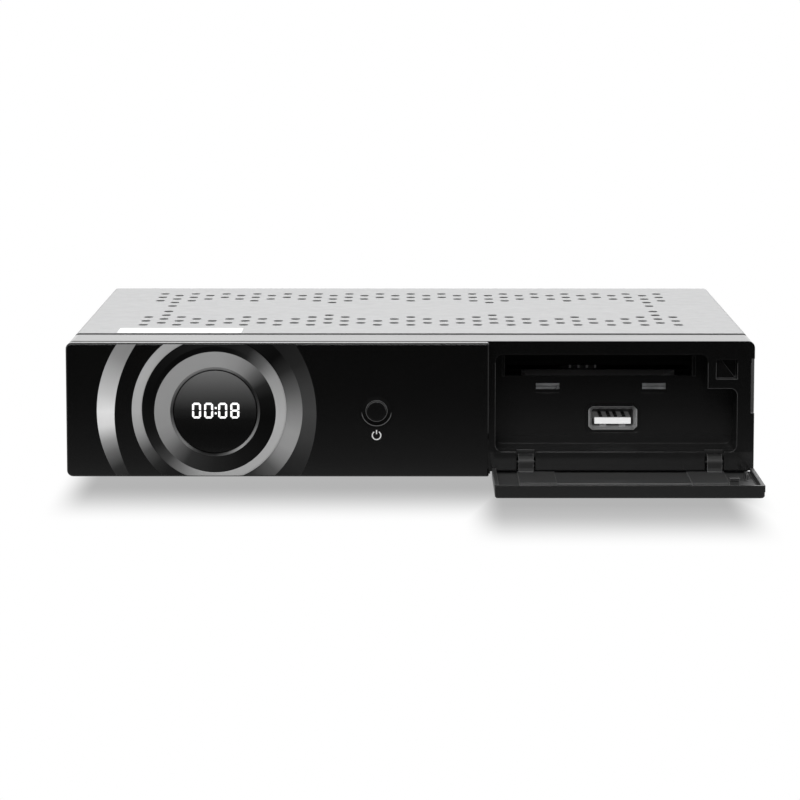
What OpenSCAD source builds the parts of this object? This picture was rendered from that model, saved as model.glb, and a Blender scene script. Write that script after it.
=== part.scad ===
// Satellite tv receiver with a drop-down front door over a card and USB bay.
// X runs along the front, left to right; Y runs from the front to the back; Z is up.
// Places inside the modules are measured from the fascia's face (Y 0), the middle of the
// width (X 0) and the surface that the feet stand on (Z 0). in_frame() then moves the
// whole object so that the middle of its depth, with the door open, lies at Y 0.

/* [Case] */
// Width of the case
case_w = 203; // [200:1:215]
// Depth from the fascia's face to the outside of the rear panel
case_d = 162.5; // [156:0.5:185]
// Height of the front, without the feet
front_h = 39.5; // [39:0.5:44]
// Height of the feet
foot_h = 5; // [4:0.5:8]
// Radius of a foot at its top
foot_r = 7.5; // [5:0.5:9]
// Distance of the feet from the sides of the case
foot_inset = 16; // [12:1:24]
// Distance of the front feet behind the fascia
foot_front = 50; // [48:1:60]
// Distance of the rear feet in front of the rear panel
foot_rear = 14; // [12:1:24]
// Thickness of the sheet steel
sheet = 0.8; // [0.6:0.1:1]
// Gap between the moulded front and the cover
seam = 1.0; // [0.6:0.1:1.4]
// How far the cover's sides stand in from the front's sides
cover_inset = 0.4; // [0.2:0.1:0.8]
// Bend radius of the cover, outside
cover_bend = 1.6; // [1.2:0.1:2.4]
// Depth of the cover's lip that is folded down over the rear panel
cover_lip = 8; // [7:0.5:10]

/* [Vents] */
// Number of vent columns across the cover
vent_columns = 33; // [13:2:33]
// Distance between vent columns
vent_pitch = 5.14; // [4.6:0.02:5.6]
// Distance between vent rows
vent_row = 5.7; // [5.3:0.05:6]
// Width of a vent
vent_w = 2.8; // [2:0.1:3.2]
// Length of a vent, front to back
vent_l = 4.5; // [3.6:0.1:5]
// Distance of the first vent row behind the cover's front edge
vent_front = 24.3; // [20:0.1:28]
// Distance of the last vent row in front of the cover's rear edge
vent_rear = 18.3; // [14:0.1:22]

/* [Moulded front] */
// Depth of the moulded front behind its face
frame_depth = 18; // [17.6:0.2:20]
// Wall of the moulded front
frame_wall = 2; // [1.6:0.1:2.4]
// Corner radius of the moulded front
corner_r = 2; // [1.6:0.1:3]
// Height of the finger notch in the right side
notch_h = 16.2; // [12:0.2:20]
// Depth of the finger notch at the front's face
notch_depth = 1.0; // [0.6:0.1:1.2]
// Middle of the finger notch above the underside
notch_rise = 26.2; // [24:0.2:28]

/* [Fascia] */
// How far the fascia stands proud of the moulded front
fascia_t = 4; // [3.6:0.1:4.6]
// Thickness of the fascia's skin
fascia_skin = 2.2; // [1.8:0.1:2.6]
// How far the fascia's top lies below the front's top
fascia_drop = 0.1; // [0.1:0.1:0.6]
// How far the fascia hangs below the front's underside
fascia_hang = 0.3; // [0:0.1:0.6]
// Chamfer along the edges of the fascia and the door
edge_chamfer = 0.4; // [0.3:0.1:0.9]

/* [Display] */
// Middle of the display from the left side
display_inset = 43.9; // [42:0.1:48]
// Middle of the display above the underside
display_rise = 19; // [18.4:0.1:20]
// Radius of the lens
lens_r = 12.15; // [11:0.05:12.4]
// Groove around the lens
lens_groove = 1.1; // [0.6:0.05:1.2]
// Outer radius of the display ring
ring_r = 17.9; // [17:0.1:18.6]
// Outer radius of the raised disc's rim
rim_r = 21.3; // [20.8:0.1:21.8]
// Outer radius of the left inner arc
left_arc_r = 25.2; // [24.6:0.1:26]
// Outer radius of the right inner arc
right_arc_r = 26.3; // [25.6:0.1:27]
// Outer radius of the shadow arc
shadow_arc_r = 37.8; // [37.2:0.1:38.4]
// Inner radius of the outer arc
outer_arc_in_r = 38; // [37.4:0.1:38.6]
// Outer radius of the outer arc
outer_arc_r = 35.9; // [35.3:0.1:36.5]
// Thickness of the inlaid arcs
inlay_t = 0.5; // [0.3:0.1:0.8]
// How far the raised disc stands out of the fascia
disc_rise = 0.9; // [0.5:0.1:1.2]

/* [Standby button] */
// Middle of the button from the left side
button_inset = 91.4; // [88:0.1:96]
// Middle of the button above the underside
button_rise = 19.2; // [18:0.1:21]
// Radius of the button's cap
button_r = 3; // [2.4:0.1:3.6]
// Clearance around the button's cap
button_gap = 0.08; // [0.04:0.01:0.1]
// Width of the dish's slope around the button
dish_slope = 1.32; // [0.8:0.02:1.8]
// Depth of the dish
dish_depth = 0.5; // [0.3:0.1:1.2]
// Travel of the button
press_travel = 0.5; // [0.3:0.05:0.6]

/* [Door] */
// Width of the door
door_w = 77.4; // [76:0.2:84]
// Gap between the fascia and the door
door_gap = 1.1; // [0.6:0.1:1.4]
// Gap above and below the closed door
door_margin = 0.2; // [0.1:0.05:0.4]
// Thickness of the door's panel
door_skin = 2; // [1.6:0.1:2.2]
// Thickness of the door over its rim
door_t = 3.7; // [3.3:0.1:3.7]
// Width of the door's rim
rim_w = 1.1; // [0.8:0.1:1.5]
// Hinge axis behind the fascia's face
hinge_y = 5.2; // [5:0.05:5.4]
// Hinge axis above the case's underside
hinge_rise = 3.3; // [3.1:0.05:3.4]
// Radius of a hinge knuckle
knuckle_r = 2.5; // [2.2:0.1:2.6]
// Width of a hinge knuckle
knuckle_w = 4.4; // [3.6:0.1:4.4]
// Radius of a hinge pin
pin_r = 0.6; // [0.5:0.05:0.7]
// Running clearance around a hinge pin
pin_gap = 0.05; // [0.03:0.01:0.1]
// Length of a hinge pin held in the rail at each side of its slot
pin_hold = 2.4; // [1.6:0.1:3]
// Width of a hinge slot in the rail
slot_w = 5.5; // [5.2:0.1:6.4]
// Middle of the left hinge slot from the door's left edge
left_hinge_inset = 10; // [9.6:0.1:14]
// Middle of the right hinge slot from the door's right edge
right_hinge_inset = 11.6; // [11:0.1:15]
// Clearance of the rail under and behind the swinging door
swing_gap = 0.35; // [0.3:0.05:0.5]

/* [Card bay] */
// Left wall of the bay from the door's left edge
bay_left = 0.9; // [0.7:0.1:2]
// Right wall of the bay's lower part from the right side
bay_right = 5.1; // [4.4:0.1:7]
// Right wall of the bay's upper part from the right side
bay_shoulder = 13.8; // [13.4:0.1:15]
// Floor of the bay above the underside
bay_floor = 6.65; // [6.4:0.05:6.8]
// Height of the bay's lower part
bay_lower_h = 18.75; // [18.4:0.05:19.6]
// Roof of the bay below the front's top
bay_roof = 4.1; // [3.6:0.1:4.4]
// Corner radius of the bay
bay_r = 2; // [1:0.1:2.5]
// Back wall of the bay behind the front's face
bay_depth = 17; // [16:0.1:17]
// Wall of the bay's liner
bay_wall = 1.2; // [1:0.1:1.3]
// Width and height of the latch pocket
pocket = [6.2, 5.6]; // [5:0.1:6.4]
// Middle of the latch pocket from the right side
pocket_inset = 8.2; // [7.8:0.1:8.6]
// Middle of the latch pocket below the front's top
pocket_drop = 8.4; // [8:0.1:8.8]

/* [Card reader] */
// Width of the card mouth
mouth_w = 55.9; // [55:0.1:57]
// Height of the card mouth
mouth_h = 8.25; // [7.6:0.05:8.3]
// Left side of the card mouth from the bay's left wall
mouth_inset = 3.3; // [3:0.1:3.8]
// Height of the thumb ramp
ramp_h = 1.4; // [1.2:0.1:1.8]
// Length of the thumb ramp, front to back
ramp_l = 4; // [3:0.1:5]
// Number of ribs on the lip of the ramp
ramp_ribs = 7; // [3:1:9]
// Distance between the ribs of the ramp
ramp_rib_pitch = 4.85; // [3.6:0.05:5]
// Height of the card slot
card_slot_h = 1.3; // [1.1:0.05:1.4]
// Length of the reader, front to back
reader_l = 57; // [50:1:60]
// Distance between the reader's contacts
contact_pitch = 2.54; // [2.54]
// Width and height of the windows for the bracket's tabs
window = [7.2, 3.1]; // [2.9:0.1:7.6]
// Distance between the middles of the two windows
window_spread = 31.9; // [28:0.1:36]
// Roof of the windows below the card mouth
window_drop = 2.15; // [2:0.05:2.3]
// Clearance around a bracket tab in its window
tab_gap = 0.1; // [0.05:0.05:0.3]

/* [USB socket] */
// Middle of the socket from the bay's left wall
usb_inset = 35.7; // [30:0.1:38]
// Middle of the socket above the bay's floor
usb_rise = 7.75; // [7.6:0.05:8.4]
// Width and height of the shell
usb_body = [13.1, 5.7]; // [5.6:0.05:13.2]
// Width and height of the shell's flared mouth
usb_flare = [14.65, 7.2]; // [7:0.05:14.8]
// Wall of the shell
usb_wall = 0.3; // [0.25:0.05:0.35]
// Length of the shell
usb_l = 13.4; // [12:0.1:15]
// Width and thickness of the tongue
usb_tongue_size = [10.9, 1.9]; // [1.8:0.05:11.2]
// Border of the shallow recess around the mouth
usb_border = 1; // [0.6:0.1:1.2]

/* [Boards] */
// Thickness of a circuit board
board_t = 1.6; // [1.2:0.1:1.8]
// Height of the posts under the main and power boards
post_h = 5; // [4:0.5:6]
// Radius of a board post
post_r = 3; // [2.4:0.1:3.4]
// Radius of a board screw's thread
screw_r = 1.5; // [1.2:0.1:1.7]
// Width of the main board
main_w = 130; // [128:1:134]
// Distance of the main board's front edge behind the fascia
main_front = 52; // [51:1:56]
// Gap between the boards and the case's sides
board_side_gap = 3; // [2:0.5:4]
// Gap between the two boards
board_gap = 4; // [3:0.5:8]
// Distance of the front board behind the front's wall
front_board_depth = 8.5; // [8:0.1:9]

/* [Rear connectors] */
// Distance of each aerial connector from the right side
aerial_insets = [12.5, 30.5]; // [12:0.5:31]
// Radius over an aerial connector's thread
aerial_r = 4.76; // [4.76]
// Length of an aerial connector outside the rear panel
aerial_l = 12; // [10:0.5:13]
// Height of the aerial connectors above the main board
aerial_rise = 9.5; // [8.5:0.1:12]
// Middle of the HDMI socket from the right side
hdmi_inset = 51.5; // [51:0.5:54]
// Middle of the network socket from the right side
network_inset = 70.5; // [70:0.5:73]
// Number of phono jacks
phono_count = 4; // [2:1:4]
// Distance between phono jacks
phono_pitch = 11.5; // [11:0.1:12]
// First phono jack from the right side
phono_inset = 91.2; // [90:0.1:94]
// Radius over a phono jack's barrel
phono_r = 4.15; // [4.15]
// Length of a phono jack's barrel outside the rear panel
phono_l = 8.5; // [8:0.1:9.5]
// Middle of the mains inlet from the left side
inlet_inset = 20; // [18:0.5:22]
// Middle of the rocker switch from the left side
rocker_inset = 44.5; // [42:0.5:48]
// Height of the mains inlet and the rocker above the underside
power_rise = 18; // [17:0.5:22]
// Tilt of the rocker to each side
rocker_tilt = 8; // [6:0.5:10]

/* [Hidden] */

$fn = 48;
// A cut reaches this far past the face that it opens
eps = 0.5;
// Facets of a round corner inside a hull
hull_fn = 32;

left_x = -case_w / 2;
right_x = case_w / 2;
base_z = foot_h;
top_z = foot_h + front_h;
frame_y = fascia_t;
frame_in_y = frame_y + frame_wall;
frame_back_y = frame_y + frame_depth;
cover_y = frame_back_y + seam;
rear_y = case_d;
rear_in_y = rear_y - sheet;
floor_z = base_z + sheet;

// Cover
cover_x = right_x - cover_inset;
cover_rise = 0.2;
cover_top_z = top_z + cover_rise;
cover_in_z = cover_top_z - sheet;
cover_in_x = cover_x - sheet;
cover_edge_z = base_z + 0.3;
lip_screw_x = [-cover_x * 0.8, 0, cover_x * 0.8];
lip_screw_z = cover_top_z - 4.6;

// Fascia
fascia_right = right_x - door_w - door_gap;
fascia_top = top_z - fascia_drop;
fascia_bottom = base_z - fascia_hang;
// Corner radii at the left and at the right
fascia_corners = [1.8, 0.5];
fascia_rim = 1.5;
display_x = left_x + display_inset;
display_z = base_z + display_rise;
lens_hole_r = lens_r + lens_groove;
// Middles of the round edges, from the display's middle to the right and upwards
rim_shift = [-0.3, 0.7];
left_arc_shift = [0.6, 0.3];
right_arc_shift = [-0.6, 0.15];
shadow_arc_shift = [-8, -0.8];
outer_arc_in_shift = [8.3, -1.3];
outer_arc_shift = [1, 0.1];
button_x = left_x + button_inset;
button_z = base_z + button_rise;
button_hole_r = button_r + button_gap;

// Door and hinge
door_l = fascia_right + door_gap;
door_r = right_x;
door_corners = [0.8, 1.6];
door_bottom = base_z + door_margin;
door_top = top_z - door_margin;
hinge_z = base_z + hinge_rise;
door_open_angle = 90;
rail_bottom = base_z + 1;
rail_back_y = hinge_y + knuckle_r + 3;
hinge_x = [door_l + left_hinge_inset, door_r - right_hinge_inset];
slot_back_y = hinge_y + knuckle_r + 0.5;
door_sweep_y = hinge_y + hinge_z - door_bottom + swing_gap;
rim_start_z = hinge_z + hinge_y - frame_y + swing_gap;

// Bay
bay_l = door_l + bay_left;
bay_r_low = right_x - bay_right;
bay_r_high = right_x - bay_shoulder;
bay_z = base_z + bay_floor;
bay_mid_z = bay_z + bay_lower_h;
bay_top = top_z - bay_roof;
bay_back_y = frame_y + bay_depth;
bay_back_t = 1.5;
bay_rear_y = bay_back_y + bay_back_t;
pocket_x = right_x - pocket_inset;
pocket_z = top_z - pocket_drop;

// Card reader and bracket
mouth_l = bay_l + mouth_inset;
mouth_r = mouth_l + mouth_w;
mouth_x = (mouth_l + mouth_r) / 2;
mouth_z = bay_top - mouth_h;
reader_y = bay_back_y + ramp_l + 0.2;
card_z = mouth_z + ramp_h + 0.1;
card_w = 54;
window_shift = 0.8;
window_z = mouth_z - window_drop - window[1];
tab_top = window_z + window[1] - tab_gap;
tab_fold = 0.2;
bracket_z = tab_top - sheet;
tab_bottom = bracket_z - tab_fold - sheet;
bracket_y = bay_rear_y + 0.3;
contact_x0 = mouth_x - 8.25;

// USB socket
usb_x = bay_l + usb_inset;
usb_z = bay_z + usb_rise;
usb_front_y = bay_back_y - 0.4;
usb_neck_y = bay_back_y + 1.2;
usb_board_z = usb_z - usb_body[1] / 2 - board_t;
tongue_z = usb_z - 0.9;

// Boards
board_z = floor_z + post_h;
board_top = board_z + board_t;
board_rear_y = rear_in_y - 2;
main_r = cover_in_x - board_side_gap;
main_l = main_r - main_w;
power_l = -cover_in_x + board_side_gap;
power_r = main_l - board_gap;
power_front = main_front + 8;
tuner_size = [38, 44, 17];
main_posts_y = [main_front, board_rear_y - tuner_size[1] - 5];
power_posts_y = [power_front, board_rear_y - 30];
front_board_y = frame_in_y + front_board_depth;
front_board_x = [left_x + 6.5, fascia_right - 8];
front_board_z = [base_z + 3, top_z - 3.5];
screw_inset = 5;
chip_x = main_l + 48;
chip_y = main_front + 40;
transformer_x = (power_l + power_r) / 2 + 4;
transformer_y = power_front + 33.5;
supply_y = power_front + 16;

// Switch behind the standby button
plunger_r = 1.7;
plunger_y = front_board_y - 4.3;
switch_h = 3.5;

// Rear connectors
nut_t = 3;
aerial_neck_r = aerial_r + 0.35;
phono_neck_r = phono_r + 0.3;
aerial_x = [for (inset = aerial_insets) right_x - inset];
aerial_z = board_top + aerial_rise;
hdmi_x = right_x - hdmi_inset;
network_x = right_x - network_inset;
phono_x = [for (i = [0 : phono_count - 1]) right_x - phono_inset - i * phono_pitch];
phono_z = board_top + 7.1;
hdmi_size = [15, 5.6];
hdmi_z = board_top + hdmi_size[1] / 2;
network_size = [16, 13.4];
network_z = board_top + network_size[1] / 2;
inlet_x = left_x + inlet_inset;
power_z = base_z + power_rise;
inlet_depth = 10;
inlet_pin_gap = 6.6;
rocker_x = left_x + rocker_inset;
rocker_body = [11, 17];
rocker_size = [8.2, 14];
rocker_pivot_y = rear_y - 1.5;

// Middle of the depth, between the open door's free edge and the aerial connectors' tips
door_reach_y = hinge_y - (door_top - hinge_z);
mid_y = (door_reach_y + rear_y + aerial_l) / 2;

// ---------------------------------------------------------------- helpers

module in_frame() translate([0, -mid_y, 0]) children();

// Block between two values on each axis
module block(x, y, z)
    translate([x[0], y[0], z[0]]) cube([x[1] - x[0], y[1] - y[0], z[1] - z[0]]);

// Outline in X and Z, drawn out from y0 to y1
module along_y(y0, y1)
    translate([0, y1, 0]) rotate([90, 0, 0]) linear_extrude(y1 - y0) children();

// Outline in Y and Z, drawn out from x0 to x1
module along_x(x0, x1)
    translate([x0, 0, 0]) rotate([90, 0, 90]) linear_extrude(x1 - x0) children();

module rod_x(y, z, r, x0, x1)
    translate([x0, y, z]) rotate([0, 90, 0]) cylinder(r = r, h = x1 - x0);

module rod_y(x, z, r, y0, y1)
    translate([x, y1, z]) rotate([90, 0, 0]) cylinder(r = r, h = y1 - y0);

module rod_z(x, y, r, z0, z1)
    translate([x, y, z0]) cylinder(r = r, h = z1 - z0);

// Turned shape about an axis along Y; its heights stand out towards the front
module turned_y(x, z)
    translate([x, 0, z]) rotate([90, 0, 0]) rotate_extrude($fn = 96) children();

module round_box_2d(x, z, r) {
    translate([x[0] + r, z[0]]) square([x[1] - x[0] - 2 * r, z[1] - z[0]]);
    translate([x[0], z[0] + r]) square([x[1] - x[0], z[1] - z[0] - 2 * r]);
    for (cx = [x[0] + r, x[1] - r], cz = [z[0] + r, z[1] - r])
        translate([cx, cz]) circle(r);
}

// Rectangle with clipped corners, centred
module clipped_2d(size, clip) {
    w = size[0] / 2;
    h = size[1] / 2;
    polygon([[-w + clip, -h], [w - clip, -h], [w, -h + clip], [w, h - clip],
             [w - clip, h], [-w + clip, h], [-w, h - clip], [-w, -h + clip]]);
}

// Discs in the corners of a rectangle, with one radius at the left and one at the right
module corner_discs(x, z, r)
    for (i = [0, 1], k = [0, 1])
        translate([x[i] + (1 - 2 * i) * r[i], z[k] + (1 - 2 * k) * r[i]])
            circle(r[i], $fn = hull_fn);

// Plate with a chamfer around its front face
module chamfered_plate(x, z, y, r, chamfer) {
    front_r = [for (corner = r) max(corner - chamfer, corner / 2)];
    hull() {
        along_y(y[0] + chamfer, y[1]) corner_discs(x, z, r);
        along_y(y[0], y[1])
            corner_discs([x[0] + chamfer, x[1] - chamfer], [z[0] + chamfer, z[1] - chamfer],
                         front_r);
    }
}

// Vertical capsule outline, centred
module capsule_2d(w, l) {
    square([w, l - w], center = true);
    for (s = [-1, 1]) translate([0, s * (l - w) / 2]) circle(w / 2);
}

// Flat cable in Y and Z that falls from one height to another in a smooth S
module ribbon(x, from, to, t) {
    steps = 14;
    path = [for (i = [0 : steps])
        let (u = i / steps)
        [from[0] + (to[0] - from[0]) * u, from[1] + (to[1] - from[1]) * (1 - cos(180 * u)) / 2]];
    along_x(x[0], x[1])
        polygon(concat([for (p = path) [p[0], p[1] + t / 2]],
                       [for (i = [steps : -1 : 0]) [path[i][0], path[i][1] - t / 2]]));
}

// ---------------------------------------------------------------- moulded front

module bay_outline(grow) {
    round_box_2d([bay_l - grow, bay_r_low + grow], [bay_z - grow, bay_mid_z + grow],
                 bay_r + grow);
    round_box_2d([bay_l - grow, bay_r_high + grow], [bay_z - grow, bay_top + grow],
                 bay_r + grow);
}

module pocket_outline(grow) {
    w = pocket[0] / 2 + grow;
    h = pocket[1] / 2 + grow;
    translate([pocket_x - w, pocket_z - h]) square([2 * w, 2 * h]);
}

module hinge_slots()
    for (x = hinge_x)
        block([x - slot_w / 2, x + slot_w / 2], [frame_y - eps, slot_back_y],
              [rail_bottom - eps, bay_z + 0.4]);

// Slanting cut that bares the closed door's edge for a finger
module finger_notch() {
    slant = 1.2;
    translate([0, 0, base_z + notch_rise - notch_h / 2]) linear_extrude(notch_h)
        polygon([[right_x - notch_depth, frame_y - eps], [right_x - notch_depth, frame_y],
                 [right_x, frame_y + slant], [right_x + eps, frame_y + slant],
                 [right_x + eps, frame_y - eps]]);
}

module front_board_bosses(r, y0, y1)
    for (x = [front_board_x[0] + screw_inset, front_board_x[1] - screw_inset],
         z = [front_board_z[0] + screw_inset, front_board_z[1] - screw_inset])
        rod_y(x, z, r, y0, y1);

module front_frame() color("#141517") in_frame() difference() {
    union() {
        difference() {
            along_y(frame_y, frame_back_y)
                round_box_2d([left_x, right_x], [base_z, top_z], corner_r);
            along_y(frame_in_y, frame_back_y + eps)
                round_box_2d([left_x + frame_wall, right_x - frame_wall],
                             [base_z + frame_wall, top_z - frame_wall], corner_r / 2);
        }
        block([fascia_right, right_x - frame_wall / 2], [frame_in_y - eps, rail_back_y],
              [rail_bottom, bay_z]);
        front_board_bosses(2.5, frame_in_y - eps, front_board_y);
    }
    along_y(frame_y - eps, frame_in_y + eps) bay_outline(0);
    along_y(frame_in_y, frame_back_y) bay_outline(bay_wall);
    along_y(frame_y - eps, frame_in_y + eps) pocket_outline(0);
    rod_y(display_x, display_z, lens_hole_r + 1.5, frame_y - eps, frame_in_y + eps, $fn = 96);
    rod_y(button_x, button_z, button_r + 2, frame_y - eps, frame_in_y + eps);
    block([fascia_right + 0.5, right_x + eps], [frame_y - eps, door_sweep_y],
          [base_z - eps, rail_bottom]);
    hinge_slots();
    for (x = hinge_x)
        rod_x(hinge_y, hinge_z, pin_r, x - slot_w / 2 - pin_hold, x + slot_w / 2 + pin_hold);
    finger_notch();
    front_board_bosses(1.2, front_board_y - 5, front_board_y + eps);
}

// Round area of the fascia's face about a middle that is shifted from the display's
module round_area(shift, r, y0, y1)
    rod_y(display_x + shift[0], display_z + shift[1], r, y0, y1, $fn = 160);

// Inlay between two round edges on one side of the display: -1 left, 1 right
module arc_inlay(in_shift, in_r, out_shift, out_r, side) {
    reach = 40;
    x0 = side < 0 ? display_x - reach : display_x;
    intersection() {
        difference() {
            round_area(out_shift, out_r, 0, inlay_t);
            round_area(in_shift, in_r, -eps, inlay_t + eps);
        }
        block([x0, x0 + reach], [-eps, inlay_t + eps],
              [fascia_bottom + edge_chamfer, fascia_top - edge_chamfer]);
    }
}

module inner_inlays() {
    arc_inlay(rim_shift, rim_r, left_arc_shift, left_arc_r, -1);
    arc_inlay(rim_shift, rim_r, right_arc_shift, right_arc_r, 1);
}

module shadow_inlay() arc_inlay(right_arc_shift, right_arc_r, shadow_arc_shift, shadow_arc_r, 1);

module outer_inlay()
    arc_inlay(outer_arc_in_shift, outer_arc_in_r, outer_arc_shift, outer_arc_r, -1);

module inner_arcs() color("#9a9a9a") in_frame() inner_inlays();

module shadow_arc() color("#3a3a3a") in_frame() shadow_inlay();

module outer_arc() color("#b4b4b4") in_frame() outer_inlay();

module fascia_panel() color("#0d0d0e") in_frame() difference() {
    chamfered_plate([left_x, fascia_right], [fascia_bottom, fascia_top], [0, fascia_t],
                    fascia_corners, edge_chamfer);
    difference() {
        block([left_x + fascia_rim, fascia_right - fascia_rim], [fascia_skin, fascia_t + eps],
              [base_z + fascia_rim, fascia_top - fascia_rim]);
        rod_y(display_x, display_z, lens_hole_r + 2.5, 0, fascia_t + 2 * eps, $fn = 96);
        rod_y(button_x, button_z, button_r + 3, 0, fascia_t + 2 * eps);
    }
    rod_y(display_x, display_z, lens_hole_r, -eps, fascia_t + eps, $fn = 96);
    rod_y(button_x, button_z, button_hole_r, -eps, fascia_t + eps);
    turned_y(button_x, button_z)
        polygon([[0, -dish_depth], [button_hole_r, -dish_depth],
                 [button_hole_r + dish_slope, 0], [button_hole_r + dish_slope, eps], [0, eps]]);
    inner_inlays();
    shadow_inlay();
    outer_inlay();
}

module disc_clip() intersection() {
    children();
    block([left_x, fascia_right], [-2 * disc_rise, fascia_t],
          [fascia_bottom + edge_chamfer, fascia_top - edge_chamfer]);
}

module display_ring() color("#7d7d7d") in_frame() disc_clip() turned_y(display_x, display_z)
    polygon([[lens_hole_r, 0], [ring_r, 0], [ring_r, disc_rise], [lens_hole_r, disc_rise / 2]]);

module disc_rim() color("#a0a0a0") in_frame() disc_clip() difference() {
    turned_y(display_x + rim_shift[0], display_z + rim_shift[1])
        polygon([[0, 0], [rim_r, 0], [rim_r, disc_rise / 3], [rim_r - 0.4, disc_rise * 0.6],
                 [ring_r + 0.9, disc_rise], [0, disc_rise]]);
    rod_y(display_x, display_z, ring_r, -2 * disc_rise, eps, $fn = 96);
}

module display_lens() color("#1c1c1e") in_frame() {
    crown = 0.5;
    flange_r = lens_hole_r + 1.2;
    dome = [for (i = [0 : 12])
        let (u = i / 12) [lens_r * u, crown * (1 - u * u)]];
    turned_y(display_x, display_z)
        polygon(concat(dome, [[lens_r, -fascia_t - 0.05], [flange_r, -fascia_t - 0.05],
                              [flange_r, -fascia_t - 1.4], [0, -fascia_t - 1.4]]));
}

// ---------------------------------------------------------------- standby button

module standby_button() color("#1a1a1c") in_frame() {
    flange_r = button_r + 1.2;
    flange_y = fascia_t + 0.3;
    stem_r = 1.4;
    turned_y(button_x, button_z)
        polygon([[0, 0.1], [button_r - 0.35, 0.1], [button_r, -0.25], [button_r, -flange_y],
                 [flange_r, -flange_y], [flange_r, -flange_y - 0.7], [stem_r, -flange_y - 1.3],
                 [stem_r, -plunger_y], [0, -plunger_y]]);
}

module switch_plunger() color("#26262a") in_frame()
    rod_y(button_x, button_z, plunger_r, plunger_y, plunger_y + 2.4);

module switch_body() color("#8c8f93") in_frame() difference() {
    block([button_x - 3, button_x + 3], [front_board_y - switch_h, front_board_y],
          [button_z - 3, button_z + 3]);
    rod_y(button_x, button_z, plunger_r + 0.06, front_board_y - switch_h - eps,
          plunger_y + 2.4 + press_travel + 0.2);
}

module front_board() color("#1f5a3a") in_frame() difference() {
    block(front_board_x, [front_board_y, front_board_y + board_t], front_board_z);
    front_board_bosses(1.6, front_board_y - eps, front_board_y + board_t + eps);
}

module front_board_screws() color("#b9bcc0") in_frame() {
    front_board_bosses(1.1, front_board_y - 4.5, front_board_y + board_t);
    front_board_bosses(2.5, front_board_y + board_t, front_board_y + board_t + 1.4);
}

module display_block() color("#dfe0e2") in_frame() difference() {
    block([display_x - 11.5, display_x + 11.5], [frame_in_y + 0.8, front_board_y],
          [display_z - 6.4, display_z + 7.2]);
    block([display_x - 9.5, display_x + 9.5], [frame_in_y, frame_in_y + 1.2],
          [display_z - 4.4, display_z + 5.2]);
}

module infrared_receiver() color("#202024") in_frame() {
    x = display_x + 31;
    block([x - 2.6, x + 2.6], [front_board_y - 4, front_board_y], [display_z - 3, display_z + 3]);
    intersection() {
        rod_y(x, display_z, 2, front_board_y - 5.4, front_board_y - 3.9);
        block([x - 3, x + 3], [front_board_y - 6, front_board_y], [display_z - 3, display_z + 3]);
    }
}

module front_ribbon() color("#d8d8d0") in_frame() {
    middle = (main_l + front_board_x[1]) / 2;
    x = [middle - 9, middle + 9];
    start = [front_board_y + board_t + 5, base_z + 22];
    finish = [main_front + 5, board_top + 5];
    ribbon(x, start, finish, 0.6);
    block([x[0] - 1, x[1] + 1], [front_board_y + board_t, start[0]],
          [start[1] - 1.8, start[1] + 1.8]);
    block([x[0] - 1, x[1] + 1], [finish[0], finish[0] + 5], [board_top, finish[1] + 1.6]);
}

// ---------------------------------------------------------------- door

// Turns a door that is drawn closed to its place at rest, hanging open
module hung_open()
    translate([0, hinge_y, hinge_z]) rotate([door_open_angle, 0, 0])
        translate([0, -hinge_y, -hinge_z]) children();

module door_arm(x) {
    w = knuckle_w / 2;
    block([x - w, x + w], [door_skin - 0.2, hinge_y], [hinge_z - 1.5, hinge_z + knuckle_r]);
    rod_x(hinge_y, hinge_z, knuckle_r, x - w, x + w);
}

module door() color("#18191b") in_frame() hung_open() difference() {
    pad_t = 0.6;
    pad_w = 10.9;
    pad_top = hinge_z + 23.9;
    union() {
        chamfered_plate([door_l, door_r], [door_bottom, door_top], [0, door_skin],
                        door_corners, edge_chamfer);
        block([door_l, door_l + rim_w], [door_skin - 0.2, door_t], [rim_start_z, door_top]);
        block([door_r - rim_w, door_r], [door_skin - 0.2, door_t], [rim_start_z, door_top]);
        block([door_l, door_r], [door_skin - 0.2, door_t], [door_top - rim_w, door_top]);
        for (x = hinge_x) door_arm(x);
        block([hinge_x[0] - knuckle_w / 2 - 0.4, hinge_x[0] - knuckle_w / 2 - 0.4 + pad_w],
              [door_skin - 0.2, door_skin + pad_t], [rim_start_z, pad_top]);
        block([hinge_x[1] + knuckle_w / 2 + 0.4 - pad_w, hinge_x[1] + knuckle_w / 2 + 0.4],
              [door_skin - 0.2, door_skin + pad_t], [rim_start_z, pad_top]);
        block([hinge_x[0], hinge_x[1]], [door_skin - 0.2, door_skin + pad_t / 2],
              [rim_start_z, pad_top - 1.4]);
        // hook that enters the latch pocket
        block([pocket_x - 1.4, pocket_x + 1.4], [door_skin - 0.2, frame_y + 0.8],
              [pocket_z - 0.7, pocket_z + 0.7]);
        block([pocket_x - 1.4, pocket_x + 1.4], [frame_y + 0.2, frame_y + 0.8],
              [pocket_z - 0.7, pocket_z + 1.3]);
        // rib that meets the frame when the door shuts
        block([door_r - 3.4, door_r - 2.8], [door_skin - 0.2, door_t],
              [hinge_z + 9, hinge_z + 15]);
    }
    for (x = hinge_x)
        rod_x(hinge_y, hinge_z, pin_r + pin_gap, x - knuckle_w, x + knuckle_w);
}

module hinge_pins() color("#b4b7ba") in_frame()
    for (x = hinge_x)
        rod_x(hinge_y, hinge_z, pin_r, x - slot_w / 2 - pin_hold, x + slot_w / 2 + pin_hold);

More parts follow.
